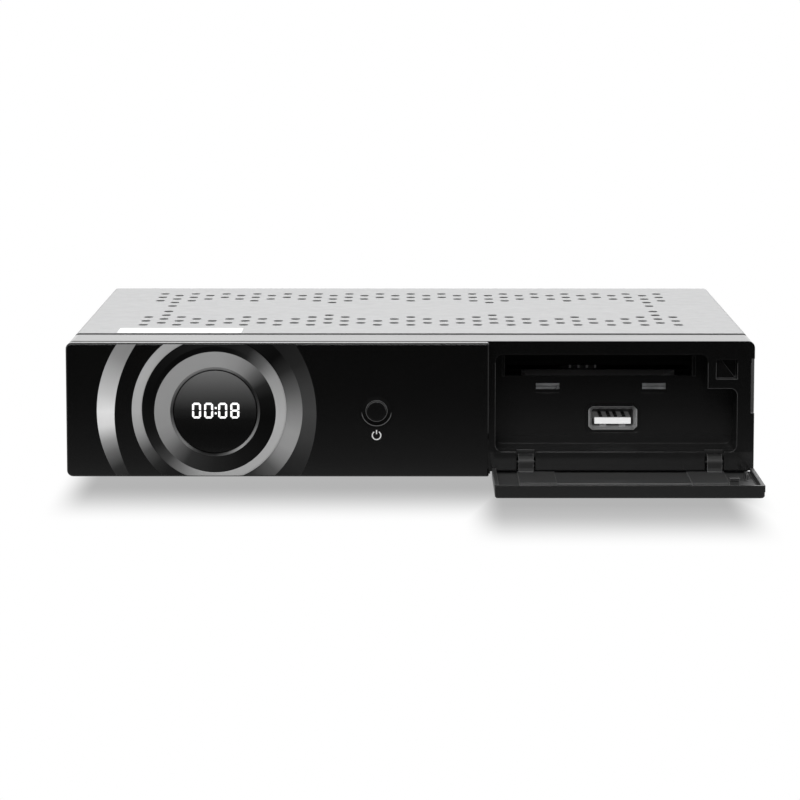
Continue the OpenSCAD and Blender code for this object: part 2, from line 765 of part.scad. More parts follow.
module door_catch() color("#101011") in_frame() {
    depth = 5;
    wall = 1;
    w = pocket[0] / 2;
    h = pocket[1] / 2;
    difference() {
        along_y(frame_in_y, frame_in_y + depth) pocket_outline(wall);
        along_y(frame_in_y - eps, frame_in_y + depth - wall) pocket_outline(0);
    }
    // diagonal ramp across the lower left of the pocket
    along_y(frame_in_y + 0.3, frame_in_y + depth - wall / 2)
        translate([pocket_x, pocket_z])
            polygon([[-w - 0.2, -h - 0.2], [w * 0.8, -h - 0.2], [w * 0.8, -h * 0.9],
                     [-w * 0.5, h], [-w - 0.2, h]]);
}

// ---------------------------------------------------------------- card bay

module usb_outline(size, grow)
    translate([usb_x, usb_z]) clipped_2d([size[0] + 2 * grow, size[1] + 2 * grow], 1.1 + grow);

// Windows for the bracket's tabs, from a height up to their roofs
module window_cuts(z)
    for (s = [-1, 1])
        translate([mouth_x + s * window_spread / 2 + window_shift - window[0] / 2, z])
            square([window[0], window_z + window[1] - z]);

module card_bay() color("#121214") in_frame() {
    rib_y = bay_back_y - 1.2;
    rib_top = mouth_z + 6.2;
    recess_w = usb_flare[0] / 2 + usb_border;
    recess_h = usb_flare[1] / 2 + usb_border;
    difference() {
        along_y(frame_in_y, bay_rear_y) bay_outline(bay_wall);
        along_y(frame_in_y - eps, bay_back_y) bay_outline(0);
        block([mouth_l, mouth_r], [bay_back_y - eps, bay_rear_y + eps], [mouth_z, bay_top]);
        along_y(bay_back_y - eps, bay_back_y + 1) window_cuts(window_z);
        along_y(bay_back_y, bay_rear_y + eps) window_cuts(tab_bottom - tab_gap);
        along_y(bay_back_y - eps, bay_rear_y + eps) usb_outline(usb_flare, 0.1);
        along_y(bay_back_y - eps, bay_back_y + 0.6)
            round_box_2d([usb_x - recess_w, usb_x + recess_w],
                         [usb_z - recess_h + 0.1, usb_z + recess_h - 0.2], 2);
        hinge_slots();
    }
    // thumb ramp that leads the card up into its slot
    hull() {
        block([mouth_l + 6.8, mouth_r - 8.7], [bay_back_y, bay_back_y + 0.1],
              [mouth_z - 1, mouth_z + 0.05]);
        block([mouth_l + 4.9, mouth_r - 4.8], [bay_back_y + ramp_l - 0.1, bay_back_y + ramp_l],
              [mouth_z - 1, mouth_z + ramp_h]);
    }
    for (i = [0 : ramp_ribs - 1]) {
        x = mouth_x + (i - (ramp_ribs - 1) / 2) * ramp_rib_pitch;
        block([x - 1.2, x + 1.2], [bay_back_y - 0.35, bay_back_y + 0.6],
              [mouth_z - 0.6, mouth_z + 0.1]);
    }
    block([mouth_l - 1, mouth_l - 0.2], [rib_y, bay_back_y + 0.2], [mouth_z, rib_top]);
    block([mouth_r + 0.2, mouth_r + 1.2], [rib_y, bay_back_y + 0.2], [mouth_z, rib_top]);
}

// ---------------------------------------------------------------- card reader

module card_reader() color("#1b1b1e") in_frame() {
    half = mouth_w / 2 + 1;
    top = card_z + card_slot_h + 3;
    difference() {
        block([mouth_x - half, mouth_x + half], [reader_y, reader_y + reader_l],
              [bracket_z + sheet, top]);
        block([mouth_x - card_w / 2 - 0.4, mouth_x + card_w / 2 + 0.4],
              [reader_y - eps, reader_y + reader_l - 3], [card_z, card_z + card_slot_h]);
        // well for the contact springs
        block([contact_x0 - 1.6, contact_x0 + 3 * contact_pitch + 1.6],
              [reader_y + 0.8, reader_y + 14], [card_z + card_slot_h - 0.1, top + eps]);
    }
}

module reader_contacts() color("#c9a85a") in_frame()
    for (row = [0, 1], i = [0 : 3]) {
        x = contact_x0 + i * contact_pitch;
        y = reader_y + 1.4 + row * 3 * contact_pitch;
        block([x - 0.3, x + 0.3], [y, y + 3.2], [card_z + card_slot_h + 0.6, card_z + card_slot_h + 1]);
        block([x - 0.3, x + 0.3], [y, y + 0.5], [card_z + 0.2, card_z + card_slot_h + 1]);
        block([x - 0.3, x + 0.3], [y + 2.8, y + 3.2],
              [card_z + card_slot_h - 0.1, card_z + card_slot_h + 1]);
    }

module reader_bracket() color("#a9adb1") in_frame() {
    half = mouth_w / 2 + 1.6;
    leg_y = [main_front - 26, main_front - 6];
    block([mouth_x - half, mouth_x + half], [bracket_y, reader_y + reader_l + 1],
          [bracket_z, bracket_z + sheet]);
    for (s = [-1, 1]) {
        x = mouth_x + s * (half - sheet / 2);
        block([x - sheet / 2, x + sheet / 2], leg_y, [floor_z, bracket_z + sheet / 2]);
        block([min(x, x + s * 6), max(x, x + s * 6)], leg_y, [floor_z, floor_z + sheet]);
        // folded tab that shows in the window
        cx = mouth_x + s * window_spread / 2 + window_shift;
        w = window[0] / 2 - tab_gap;
        block([cx - w, cx + w], [bay_back_y + 0.2, bracket_y + 1], [bracket_z, bracket_z + sheet]);
        block([cx - w, cx + w], [bay_back_y + 0.2, bracket_y + 1],
              [tab_bottom, tab_bottom + sheet]);
        block([cx - w, cx + w], [bracket_y + 0.4, bracket_y + 1],
              [tab_bottom, bracket_z + sheet / 2]);
    }
}

// ---------------------------------------------------------------- USB socket

module usb_shell() color("#c3c6ca") in_frame() {
    back_y = usb_neck_y + usb_l;
    difference() {
        union() {
            along_y(usb_neck_y - 0.1, back_y)
                translate([usb_x, usb_z]) clipped_2d(usb_body, 0.5);
            hull() {
                along_y(usb_front_y, usb_front_y + 0.1) usb_outline(usb_flare, 0);
                along_y(usb_neck_y, usb_neck_y + 0.1)
                    translate([usb_x, usb_z]) clipped_2d(usb_body, 0.5);
            }
        }
        hull() {
            along_y(usb_front_y - 0.1, usb_front_y + 0.05) usb_outline(usb_flare, -usb_wall);
            along_y(usb_neck_y, usb_neck_y + 0.2)
                translate([usb_x, usb_z])
                    clipped_2d([usb_body[0] - 2 * usb_wall, usb_body[1] - 2 * usb_wall], 0.4);
        }
        along_y(usb_neck_y - 0.1, back_y - usb_wall)
            translate([usb_x, usb_z])
                clipped_2d([usb_body[0] - 2 * usb_wall, usb_body[1] - 2 * usb_wall], 0.4);
    }
    // spring fingers along the floor
    for (s = [-1, 1]) {
        x = usb_x + s * 2.9;
        block([x - 1, x + 1], [usb_neck_y, usb_neck_y + 6],
              [usb_z - usb_body[1] / 2 + usb_wall - 0.05, usb_z - usb_body[1] / 2 + usb_wall + 0.4]);
    }
}

module usb_tongue() color("#f2f2f0") in_frame() {
    w = usb_tongue_size[0] / 2;
    t = usb_tongue_size[1] / 2;
    block([usb_x - w, usb_x + w], [bay_back_y + 0.6, usb_neck_y + usb_l - usb_wall],
          [tongue_z - t, tongue_z + t]);
}

module usb_contacts() color("#8a7b4a") in_frame()
    for (x = [-3.5, -1, 1, 3.5]) {
        z = tongue_z + usb_tongue_size[1] / 2;
        block([usb_x + x - 0.5, usb_x + x + 0.5], [usb_neck_y + 1, usb_neck_y + usb_l - 1],
              [z, z + 0.25]);
    }

module usb_board() color("#1f5a3a") in_frame() difference() {
    block([usb_x - 14, usb_x + 14], [bay_rear_y + 1.5, main_front - 4],
          [usb_board_z, usb_board_z + board_t]);
    usb_post_places(1.6, usb_board_z - eps, usb_board_z + board_t + eps);
}

module usb_post_places(r, z0, z1)
    for (x = [usb_x - 11, usb_x + 11], y = [bay_rear_y + 4.5, main_front - 7])
        rod_z(x, y, r, z0, z1);

module usb_posts() color("#c6a75c") in_frame() {
    usb_post_places(2.4, floor_z, usb_board_z);
    usb_post_places(1.5, usb_board_z - 0.1, usb_board_z + board_t);
    usb_post_places(2.6, usb_board_z + board_t, usb_board_z + board_t + 1.4);
}

// ---------------------------------------------------------------- case

// How many rows a vent column reaches inwards: scallops between the peaks on every tenth column
function vent_reach(i) =
    let (d = min([for (peak = [1 : 10 : vent_columns]) abs(i - peak)]))
    (i == 1 || i == vent_columns - 2) ? 7 : max(5 - d, d - 1);

module vents() {
    front_row = cover_y + vent_front;
    rear_row = rear_y - vent_rear;
    for (i = [0 : vent_columns - 1]) {
        x = vent_pitch * (i - (vent_columns - 1) / 2);
        for (k = [i % 2 : 2 : vent_reach(i)])
            for (y = [front_row + k * vent_row, rear_row - k * vent_row])
                translate([x, y]) capsule_2d(vent_w, vent_l);
    }
}

module top_cover() color("#cfd1d4") in_frame() difference() {
    union() {
        along_y(cover_y, rear_y) difference() {
            round_box_2d([-cover_x, cover_x], [cover_edge_z - 4, cover_top_z], cover_bend);
            round_box_2d([-cover_in_x, cover_in_x], [cover_edge_z - 6, cover_in_z],
                         cover_bend - sheet);
            translate([-cover_x - eps, cover_edge_z - 5])
                square([2 * cover_x + 2 * eps, 5]);
        }
        along_y(rear_y, rear_y + sheet) intersection() {
            round_box_2d([-cover_x, cover_x], [cover_edge_z - 4, cover_top_z], cover_bend);
            translate([-cover_x, cover_top_z - cover_lip]) square([2 * cover_x, cover_lip + eps]);
        }
    }
    translate([0, 0, cover_in_z - eps]) linear_extrude(sheet + 2 * eps) vents();
    for (x = lip_screw_x) rod_y(x, lip_screw_z, 1.8, rear_y - eps, rear_y + sheet + eps);
}

module foot_places()
    for (x = [left_x + foot_inset, right_x - foot_inset], y = [foot_front, rear_y - foot_rear])
        translate([x, y, 0]) children();

module base_vents()
    for (s = [-1, 1], i = [0 : 9])
        translate([s * 48 + (i - 4.5) * 6, (main_front + rear_y) / 2]) capsule_2d(2.6, 34);

module post_places(x, y)
    for (px = [x[0] + screw_inset, x[1] - screw_inset],
         py = [y[0] + screw_inset, y[1] - screw_inset])
        translate([px, py, 0]) children();

module all_board_posts() {
    post_places([main_l, main_r], main_posts_y) children();
    post_places([power_l, power_r], power_posts_y) children();
}

module chassis_base() color("#b8bbbf") in_frame() {
    edge_x = cover_in_x - 0.15;
    front_y = bay_rear_y + 0.1;
    flange_h = 10;
    difference() {
        block([-edge_x, edge_x], [front_y, rear_in_y], [base_z, floor_z]);
        translate([0, 0, base_z - eps]) linear_extrude(sheet + 2 * eps) base_vents();
    }
    for (x = [[-edge_x, -edge_x + sheet], [edge_x - sheet, edge_x]])
        block(x, [cover_y, rear_in_y], [base_z, base_z + flange_h]);
}

module rear_panel() color("#1e1f22") in_frame() difference() {
    along_y(rear_in_y, rear_y)
        round_box_2d([-cover_in_x + 0.15, cover_in_x - 0.15], [base_z, cover_in_z],
                     cover_bend - sheet);
    for (x = aerial_x) rod_y(x, aerial_z, aerial_neck_r + 0.2, rear_in_y - eps, rear_y + eps);
    for (x = phono_x) rod_y(x, phono_z, phono_neck_r + 0.2, rear_in_y - eps, rear_y + eps);
    along_y(rear_in_y - eps, rear_y + eps) {
        translate([hdmi_x, hdmi_z]) square([15.4, 6], center = true);
        translate([network_x, network_z]) square([16.4, 13.8], center = true);
        translate([inlet_x, power_z]) square([22.4, 14.4], center = true);
        translate([rocker_x, power_z])
            square([rocker_body[0] + 0.3, rocker_body[1] + 0.3], center = true);
    }
    for (x = lip_screw_x) rod_y(x, lip_screw_z, 1.3, rear_in_y - eps, rear_y + eps);
}

module feet() color("#202022") in_frame() foot_places()
    rotate_extrude()
        polygon([[0, 0], [foot_r - 1.2, 0], [foot_r - 0.6, 0.4], [foot_r, foot_h],
                 [0, foot_h]]);

module cover_screws() color("#2a2b2e") in_frame()
    for (x = lip_screw_x) {
        rod_y(x, lip_screw_z, 1.25, rear_y - 4, rear_y + sheet);
        turned_y(x, lip_screw_z)
            polygon([[0, -rear_y - sheet], [2.9, -rear_y - sheet], [2.9, -rear_y - sheet - 0.7],
                     [2.2, -rear_y - sheet - 1.5], [0, -rear_y - sheet - 1.8]]);
    }

// ---------------------------------------------------------------- boards

module board_posts() color("#c6a75c") in_frame() all_board_posts()
    difference() {
        translate([0, 0, floor_z]) cylinder(r = post_r, h = post_h);
        translate([0, 0, floor_z + 1]) cylinder(r = screw_r, h = post_h);
    }

module board_screws() color("#b9bcc0") in_frame() all_board_posts() {
    translate([0, 0, floor_z + 1.2]) cylinder(r = screw_r - 0.05, h = board_top - floor_z - 1.2);
    translate([0, 0, board_top]) cylinder(r = screw_r + 1.4, h = 1.6);
}

module board(x, posts_y)
    difference() {
        block(x, [posts_y[0], board_rear_y], [board_z, board_top]);
        post_places(x, posts_y)
            translate([0, 0, board_z - eps]) cylinder(r = screw_r + 0.2, h = board_t + 2 * eps);
    }

module main_board() color("#1d6a44") in_frame()
    board([main_l, main_r], main_posts_y);

module power_board() color("#9a8452") in_frame()
    board([power_l, power_r], power_posts_y);

module processor() color("#2a2a2c") in_frame()
    block([chip_x - 12, chip_x + 12], [chip_y - 12, chip_y + 12], [board_top, board_top + 2]);

module heat_sink() color("#3a3d42") in_frame() {
    fins = 9;
    side = 32;
    z = board_top + 2;
    block([chip_x - side / 2, chip_x + side / 2], [chip_y - side / 2, chip_y + side / 2],
          [z, z + 2.4]);
    for (i = [0 : fins - 1]) {
        x = chip_x - side / 2 + 0.6 + i * (side - 1.2) / (fins - 1);
        block([x - 0.6, x + 0.6], [chip_y - side / 2, chip_y + side / 2], [z + 2, z + 9]);
    }
}

module memory_chips() color("#29292b") in_frame()
    for (i = [0, 1]) {
        x = chip_x + 28;
        y = chip_y - 10 + i * 15;
        block([x - 6, x + 6], [y - 4.5, y + 4.5], [board_top, board_top + 1.2]);
    }

module can_capacitor(x, y, r, h)
    translate([x, y, board_top]) rotate_extrude()
        polygon([[0, 0], [r - 0.3, 0], [r, 0.4], [r, 1.6], [r - 0.4, 2], [r, 2.4],
                 [r, h - 0.6], [r - 0.6, h], [0, h]]);

module board_capacitors() color("#25282e") in_frame()
    for (place = [[18, 30], [18, 44], [18, 76], [80, 18], [92, 18]])
        can_capacitor(main_l + place[0], main_front + place[1], 4, 11);

module tuner_can() color("#b9bcc0") in_frame() {
    right = main_r - 0.5;
    left = right - tuner_size[0];
    front = board_rear_y - tuner_size[1];
    top = board_top + tuner_size[2];
    difference() {
        block([left, right], [front, board_rear_y + 0.4], [board_top, top]);
        // raised border of the lid
        block([left + 2, right - 2], [front + 2, board_rear_y - 1.6], [top - 0.5, top + eps]);
    }
}

module aerial_connectors() color("#c9ccd0") in_frame()
    for (x = aerial_x) difference() {
        union() {
            rod_y(x, aerial_z, aerial_neck_r, board_rear_y + 0.4, rear_y + nut_t);
            rod_y(x, aerial_z, aerial_r, rear_y + nut_t - eps, rear_y + aerial_l);
        }
        rod_y(x, aerial_z, 3.4, rear_y + aerial_l - 1, rear_y + aerial_l + eps);
    }

module aerial_nuts() color("#bfc2c6") in_frame()
    for (x = aerial_x) difference() {
        union() {
            translate([x, rear_y + nut_t, aerial_z]) rotate([90, 0, 0])
                cylinder(r = 6.35, h = nut_t - 0.6, $fn = 6);
            rod_y(x, aerial_z, 6.6, rear_y, rear_y + 0.6);
        }
        rod_y(x, aerial_z, aerial_neck_r, rear_y - eps, rear_y + nut_t + eps);
    }

module hdmi_socket() color("#bfc2c6") in_frame() {
    w = hdmi_size[0] / 2;
    h = hdmi_size[1] / 2;
    outline = [[-w + 2, -h], [w - 2, -h], [w, -h + 2], [w, h], [-w, h], [-w, -h + 2]];
    difference() {
        along_y(rear_in_y - 11, rear_y + 0.4) translate([hdmi_x, hdmi_z]) polygon(outline);
        along_y(rear_in_y - 9, rear_y + 1)
            translate([hdmi_x, hdmi_z]) scale(0.93) polygon(outline);
    }
}

module hdmi_tongue() color("#1a1a1c") in_frame()
    block([hdmi_x - 5.4, hdmi_x + 5.4], [rear_in_y - 9, rear_y - 1.2],
          [hdmi_z + 0.1, hdmi_z + 1.2]);

module network_socket() color("#b4b7bb") in_frame() difference() {
    block([network_x - network_size[0] / 2, network_x + network_size[0] / 2],
          [rear_in_y - 15, rear_y + 0.4], [board_top, board_top + network_size[1]]);
    block([network_x - 5.9, network_x + 5.9], [rear_in_y - 12, rear_y + eps],
          [board_top + 3, board_top + 10.4]);
    block([network_x - 3, network_x + 3], [rear_in_y - 12, rear_y + eps],
          [board_top + 1.4, board_top + 3.1]);
}

module phono_block() color("#1c1c1f") in_frame() {
    last = phono_x[phono_count - 1];
    block([last - 5.6, phono_x[0] + 5.6], [rear_in_y - 11, rear_in_y - 0.1],
          [board_top, board_top + 13.6]);
}

module phono_barrels() color("#c9ccd0") in_frame()
    for (x = phono_x) difference() {
        union() {
            rod_y(x, phono_z, phono_neck_r, rear_in_y - 0.1, rear_y);
            rod_y(x, phono_z, phono_r, rear_y - eps, rear_y + phono_l);
        }
        rod_y(x, phono_z, phono_r - 0.6, rear_in_y - 1, rear_y + phono_l + eps);
    }

module phono_inserts() color("#d9d9d6") in_frame()
    for (x = phono_x) difference() {
        rod_y(x, phono_z, phono_r - 0.6, rear_in_y - 0.1, rear_y + phono_l - 0.6);
        rod_y(x, phono_z, 1.6, rear_y - 0.5, rear_y + phono_l + eps);
    }

// ---------------------------------------------------------------- power

module transformer() color("#d9c93c") in_frame() {
    winding_r = 9.5;
    leg_x = 12;
    rod_z(transformer_x, transformer_y, winding_r, board_top + 3, board_top + 17);
    for (z = [board_top, board_top + 16])
        block([transformer_x - 14, transformer_x + 14], [transformer_y - 10, transformer_y + 10],
              [z, z + 4]);
    for (s = [-1, 1])
        block([transformer_x + s * leg_x - 1.4, transformer_x + s * leg_x + 1.4],
              [transformer_y - 6, transformer_y + 6], [board_top + 3, board_top + 17]);
}

module mains_capacitor() color("#23303f") in_frame()
    can_capacitor(power_l + 14, power_front + 54, 8, 22);

module output_capacitors() color("#25282e") in_frame() {
    pitch = 8.6;
    for (i = [0 : 2])
        can_capacitor(power_r - 14, transformer_y + 16.5 + i * pitch, 4, 14);
}

module power_heat_sink() color("#8f9296") in_frame() {
    x = power_l + 14;
    y = power_front + 9;
    block([x - 9, x + 9], [y, y + 2], [board_top, board_top + 20]);
    for (s = [-1, 1]) block([x + s * 8 - 1, x + s * 8 + 1], [y, y + 6], [board_top, board_top + 20]);
}

module fuse() color("#cfd2d6") in_frame() {
    x = power_l + 32;
    y = board_rear_y - 17.5;
    z = board_top + 5;
    rod_x(y, z, 2.6, x - 10, x + 10);
    for (s = [-1, 1]) block([x + s * 8 - 1, x + s * 8 + 1], [y - 3.4, y + 3.4], [board_top, z]);
}

module supply_ribbon() color("#c7c3b4") in_frame() {
    y = supply_y;
    ends = [power_r - 8, main_l + 8];
    z = board_top + 6;
    t = 1.2;
    for (x = ends) block([x - 2.5, x + 2.5], [y - 6, y + 6], [board_top, z]);
    block([ends[0], ends[1]], [y - 5, y + 5], [z, z + t]);
}

module mains_inlet() color("#1a1a1c") in_frame() difference() {
    union() {
        block([inlet_x - 11, inlet_x + 11], [rear_in_y - 14, rear_y + eps],
              [power_z - 7, power_z + 7]);
        along_y(rear_y, rear_y + 1.6)
            round_box_2d([inlet_x - 13, inlet_x + 13], [power_z - 8.6, power_z + 8.6], 2.5);
    }
    along_y(rear_y + 1.6 - inlet_depth, rear_y + 3) {
        for (s = [-1, 1]) translate([inlet_x + s * inlet_pin_gap / 2, power_z]) circle(4);
        translate([inlet_x, power_z]) square([inlet_pin_gap, 8], center = true);
    }
}

module inlet_pins() color("#c9ccd0") in_frame()
    for (s = [-1, 1])
        rod_y(inlet_x + s * inlet_pin_gap / 2, power_z, 1.18, rear_y + 1.6 - inlet_depth,
              rear_y + 0.2);

module rocker_housing() color("#161618") in_frame() difference() {
    union() {
        block([rocker_x - rocker_body[0] / 2, rocker_x + rocker_body[0] / 2],
              [rear_in_y - 12, rear_y + eps],
              [power_z - rocker_body[1] / 2, power_z + rocker_body[1] / 2]);
        along_y(rear_y, rear_y + 2)
            round_box_2d([rocker_x - 6.6, rocker_x + 6.6], [power_z - 9.8, power_z + 9.8], 1);
    }
    block([rocker_x - rocker_size[0] / 2 - 0.3, rocker_x + rocker_size[0] / 2 + 0.3],
          [rocker_pivot_y - 5, rear_y + 3],
          [power_z - rocker_size[1] / 2 - 0.8, power_z + rocker_size[1] / 2 + 0.8]);
    rod_x(rocker_pivot_y, power_z, 1.06, rocker_x - rocker_size[0] / 2 - 1,
          rocker_x + rocker_size[0] / 2 + 1);
}

module rocker() color("#0f0f10") in_frame()
    translate([0, rocker_pivot_y, power_z]) rotate([-rocker_tilt, 0, 0]) {
        l = rocker_size[1] / 2;
        along_x(rocker_x - rocker_size[0] / 2, rocker_x + rocker_size[0] / 2)
            polygon([[-2.2, -2.5], [0.6, -l], [4.4, -l], [3.1, 0], [4.4, l], [0.6, l],
                     [-2.2, 2.5]]);
        rod_x(0, 0, 1, rocker_x - rocker_size[0] / 2 - 0.8, rocker_x + rocker_size[0] / 2 + 0.8);
    }

front_frame();
fascia_panel();
display_lens();
display_ring();
disc_rim();
inner_arcs();
shadow_arc();
outer_arc();
standby_button();
switch_plunger();
switch_body();
front_board();
front_board_screws();
display_block();
infrared_receiver();
front_ribbon();
door();
hinge_pins();
door_catch();
card_bay();
card_reader();
reader_contacts();
reader_bracket();
usb_shell();
usb_tongue();
usb_contacts();
usb_board();
usb_posts();
top_cover();
chassis_base();
rear_panel();
feet();
cover_screws();
board_posts();
board_screws();
main_board();
processor();
heat_sink();
memory_chips();
board_capacitors();
tuner_can();
aerial_connectors();
aerial_nuts();
hdmi_socket();
hdmi_tongue();
network_socket();
phono_block();
phono_barrels();
phono_inserts();
power_board();
transformer();
mains_capacitor();
output_capacitors();
power_heat_sink();
fuse();
supply_ribbon();
mains_inlet();
inlet_pins();
rocker_housing();
rocker();
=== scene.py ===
"""Looks of the satellite tv receiver: its finishes, its small stuck-on and printed pieces,
the floor, the lights and the camera. All places are in metres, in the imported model's frame."""
import math

import bmesh
import bpy
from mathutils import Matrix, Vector


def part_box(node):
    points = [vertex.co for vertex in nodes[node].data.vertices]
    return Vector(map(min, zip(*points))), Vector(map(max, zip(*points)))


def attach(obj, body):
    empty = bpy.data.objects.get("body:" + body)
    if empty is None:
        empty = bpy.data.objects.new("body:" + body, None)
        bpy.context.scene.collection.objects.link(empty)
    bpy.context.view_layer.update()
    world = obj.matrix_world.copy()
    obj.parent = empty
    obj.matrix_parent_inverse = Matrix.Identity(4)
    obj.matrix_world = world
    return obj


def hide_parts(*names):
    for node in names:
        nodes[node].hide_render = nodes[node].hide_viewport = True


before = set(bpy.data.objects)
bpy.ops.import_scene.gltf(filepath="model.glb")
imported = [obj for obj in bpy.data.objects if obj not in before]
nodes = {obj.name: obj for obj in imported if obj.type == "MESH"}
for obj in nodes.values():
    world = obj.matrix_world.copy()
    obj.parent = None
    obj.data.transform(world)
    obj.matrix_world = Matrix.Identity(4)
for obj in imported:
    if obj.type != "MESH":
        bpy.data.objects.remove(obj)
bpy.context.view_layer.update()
MM = 0.001

# ---------------------------------------------------------------- camera

CAMERA_PLACE = (-0.00026, -1.08015, 0.1579)
CAMERA_DOWN = 0.1286
CAMERA_TURN = 0.0029
CAMERA_LENS = 155.44


def make_camera():
    data = bpy.data.cameras.new("camera")
    data.lens = CAMERA_LENS
    data.sensor_width = 36
    data.sensor_fit = "HORIZONTAL"
    data.clip_end = 20
    camera = bpy.data.objects.new("camera", data)
    camera.location = CAMERA_PLACE
    camera.rotation_euler = (math.pi / 2 - CAMERA_DOWN, 0, CAMERA_TURN)
    bpy.context.scene.collection.objects.link(camera)
    bpy.context.scene.camera = camera
    bpy.context.scene.view_settings.view_transform = "Standard"


make_camera()

# ---------------------------------------------------------------- finishes

# Noise values lie between these, about 0.5
NOISE_LOW, NOISE_HIGH = 0.3, 0.7
NOISE_ROUGHNESS = 0.55
MOTTLE_DETAIL, RELIEF_DETAIL = 4.0, 2.0
COAT_ROUGHNESS = 0.03
# Samples of the rounded edges that are seen as shape, and of those that are coloured
ROUND_SAMPLES, EDGE_SAMPLES = 6, 8
# Width over which one zone of a finish goes over into the next
ZONE_BLUR = 0.05 * MM
LINE_BLUR = 0.08 * MM
# Likeness of the rounded and the plain face direction: alike on a face, apart on an edge
ON_FACE, ON_EDGE = 0.995, 0.93


def grey(level):
    """Linear colour of a display grey from 0 to 255."""
    share = level / 255
    linear = share / 12.92 if share <= 0.04045 else ((share + 0.055) / 1.055) ** 2.4
    return (linear, linear, linear, 1.0)


class Graph:
    """A node tree, with short ways to add to it."""

    def __init__(self, tree):
        self.tree = tree

    def add(self, kind, **settings):
        node = self.tree.nodes.new(kind)
        for key, value in settings.items():
            setattr(node, key, value)
        return node

    def link(self, output, node, socket):
        self.tree.links.new(output, node.inputs[socket])

    def give(self, value, node, socket):
        """Feeds a socket from an output, or sets it to a figure."""
        if isinstance(value, bpy.types.NodeSocket):
            self.link(value, node, socket)
        else:
            node.inputs[socket].default_value = value

    def calculate(self, operation, a, b=0.0):
        node = self.add("ShaderNodeMath", operation=operation)
        self.give(a, node, 0)
        self.give(b, node, 1)
        return node.outputs["Value"]

    def calculate_vector(self, operation, a, b=(0, 0, 0)):
        node = self.add("ShaderNodeVectorMath", operation=operation)
        self.give(a, node, 0)
        self.give(b, node, 1)
        return node.outputs["Value" if operation in ("LENGTH", "DOT_PRODUCT") else "Vector"]

    def split(self, vector):
        node = self.add("ShaderNodeSeparateXYZ")
        self.link(vector, node, "Vector")
        return node.outputs

    def scaled(self, value, start, end, low=0.0, high=1.0, **settings):
        """Brings a value from one range to another, held at the ends."""
        node = self.add("ShaderNodeMapRange", **settings)
        for socket, figure in (("From Min", start), ("From Max", end), ("To Min", low),
                               ("To Max", high)):
            node.inputs[socket].default_value = figure
        self.link(value, node, "Value")
        return node.outputs["Result"]

    def colours(self, factor, stops, ease="LINEAR"):
        """Colour from a factor, through stops of (place, colour)."""
        node = self.add("ShaderNodeValToRGB")
        node.color_ramp.interpolation = ease
        places = node.color_ramp.elements
        while len(places) < len(stops):
            places.new(0.5)
        for element, (place, colour) in zip(places, stops):
            element.position = place
            element.color = colour
        self.link(factor, node, "Fac")
        return node.outputs["Color"]

    def levels(self, factor, stops):
        """Plain brightness from a factor, through stops of (place, linear level)."""
        return self.colours(factor, [(place, (level, level, level, 1)) for place, level in stops])

    def mixed(self, factor, first, second):
        """Shader that goes over from one to another by a factor."""
        node = self.add("ShaderNodeMixShader")
        self.link(factor, node, 0)
        self.link(first, node, 1)
        self.link(second, node, 2)
        return node.outputs["Shader"]


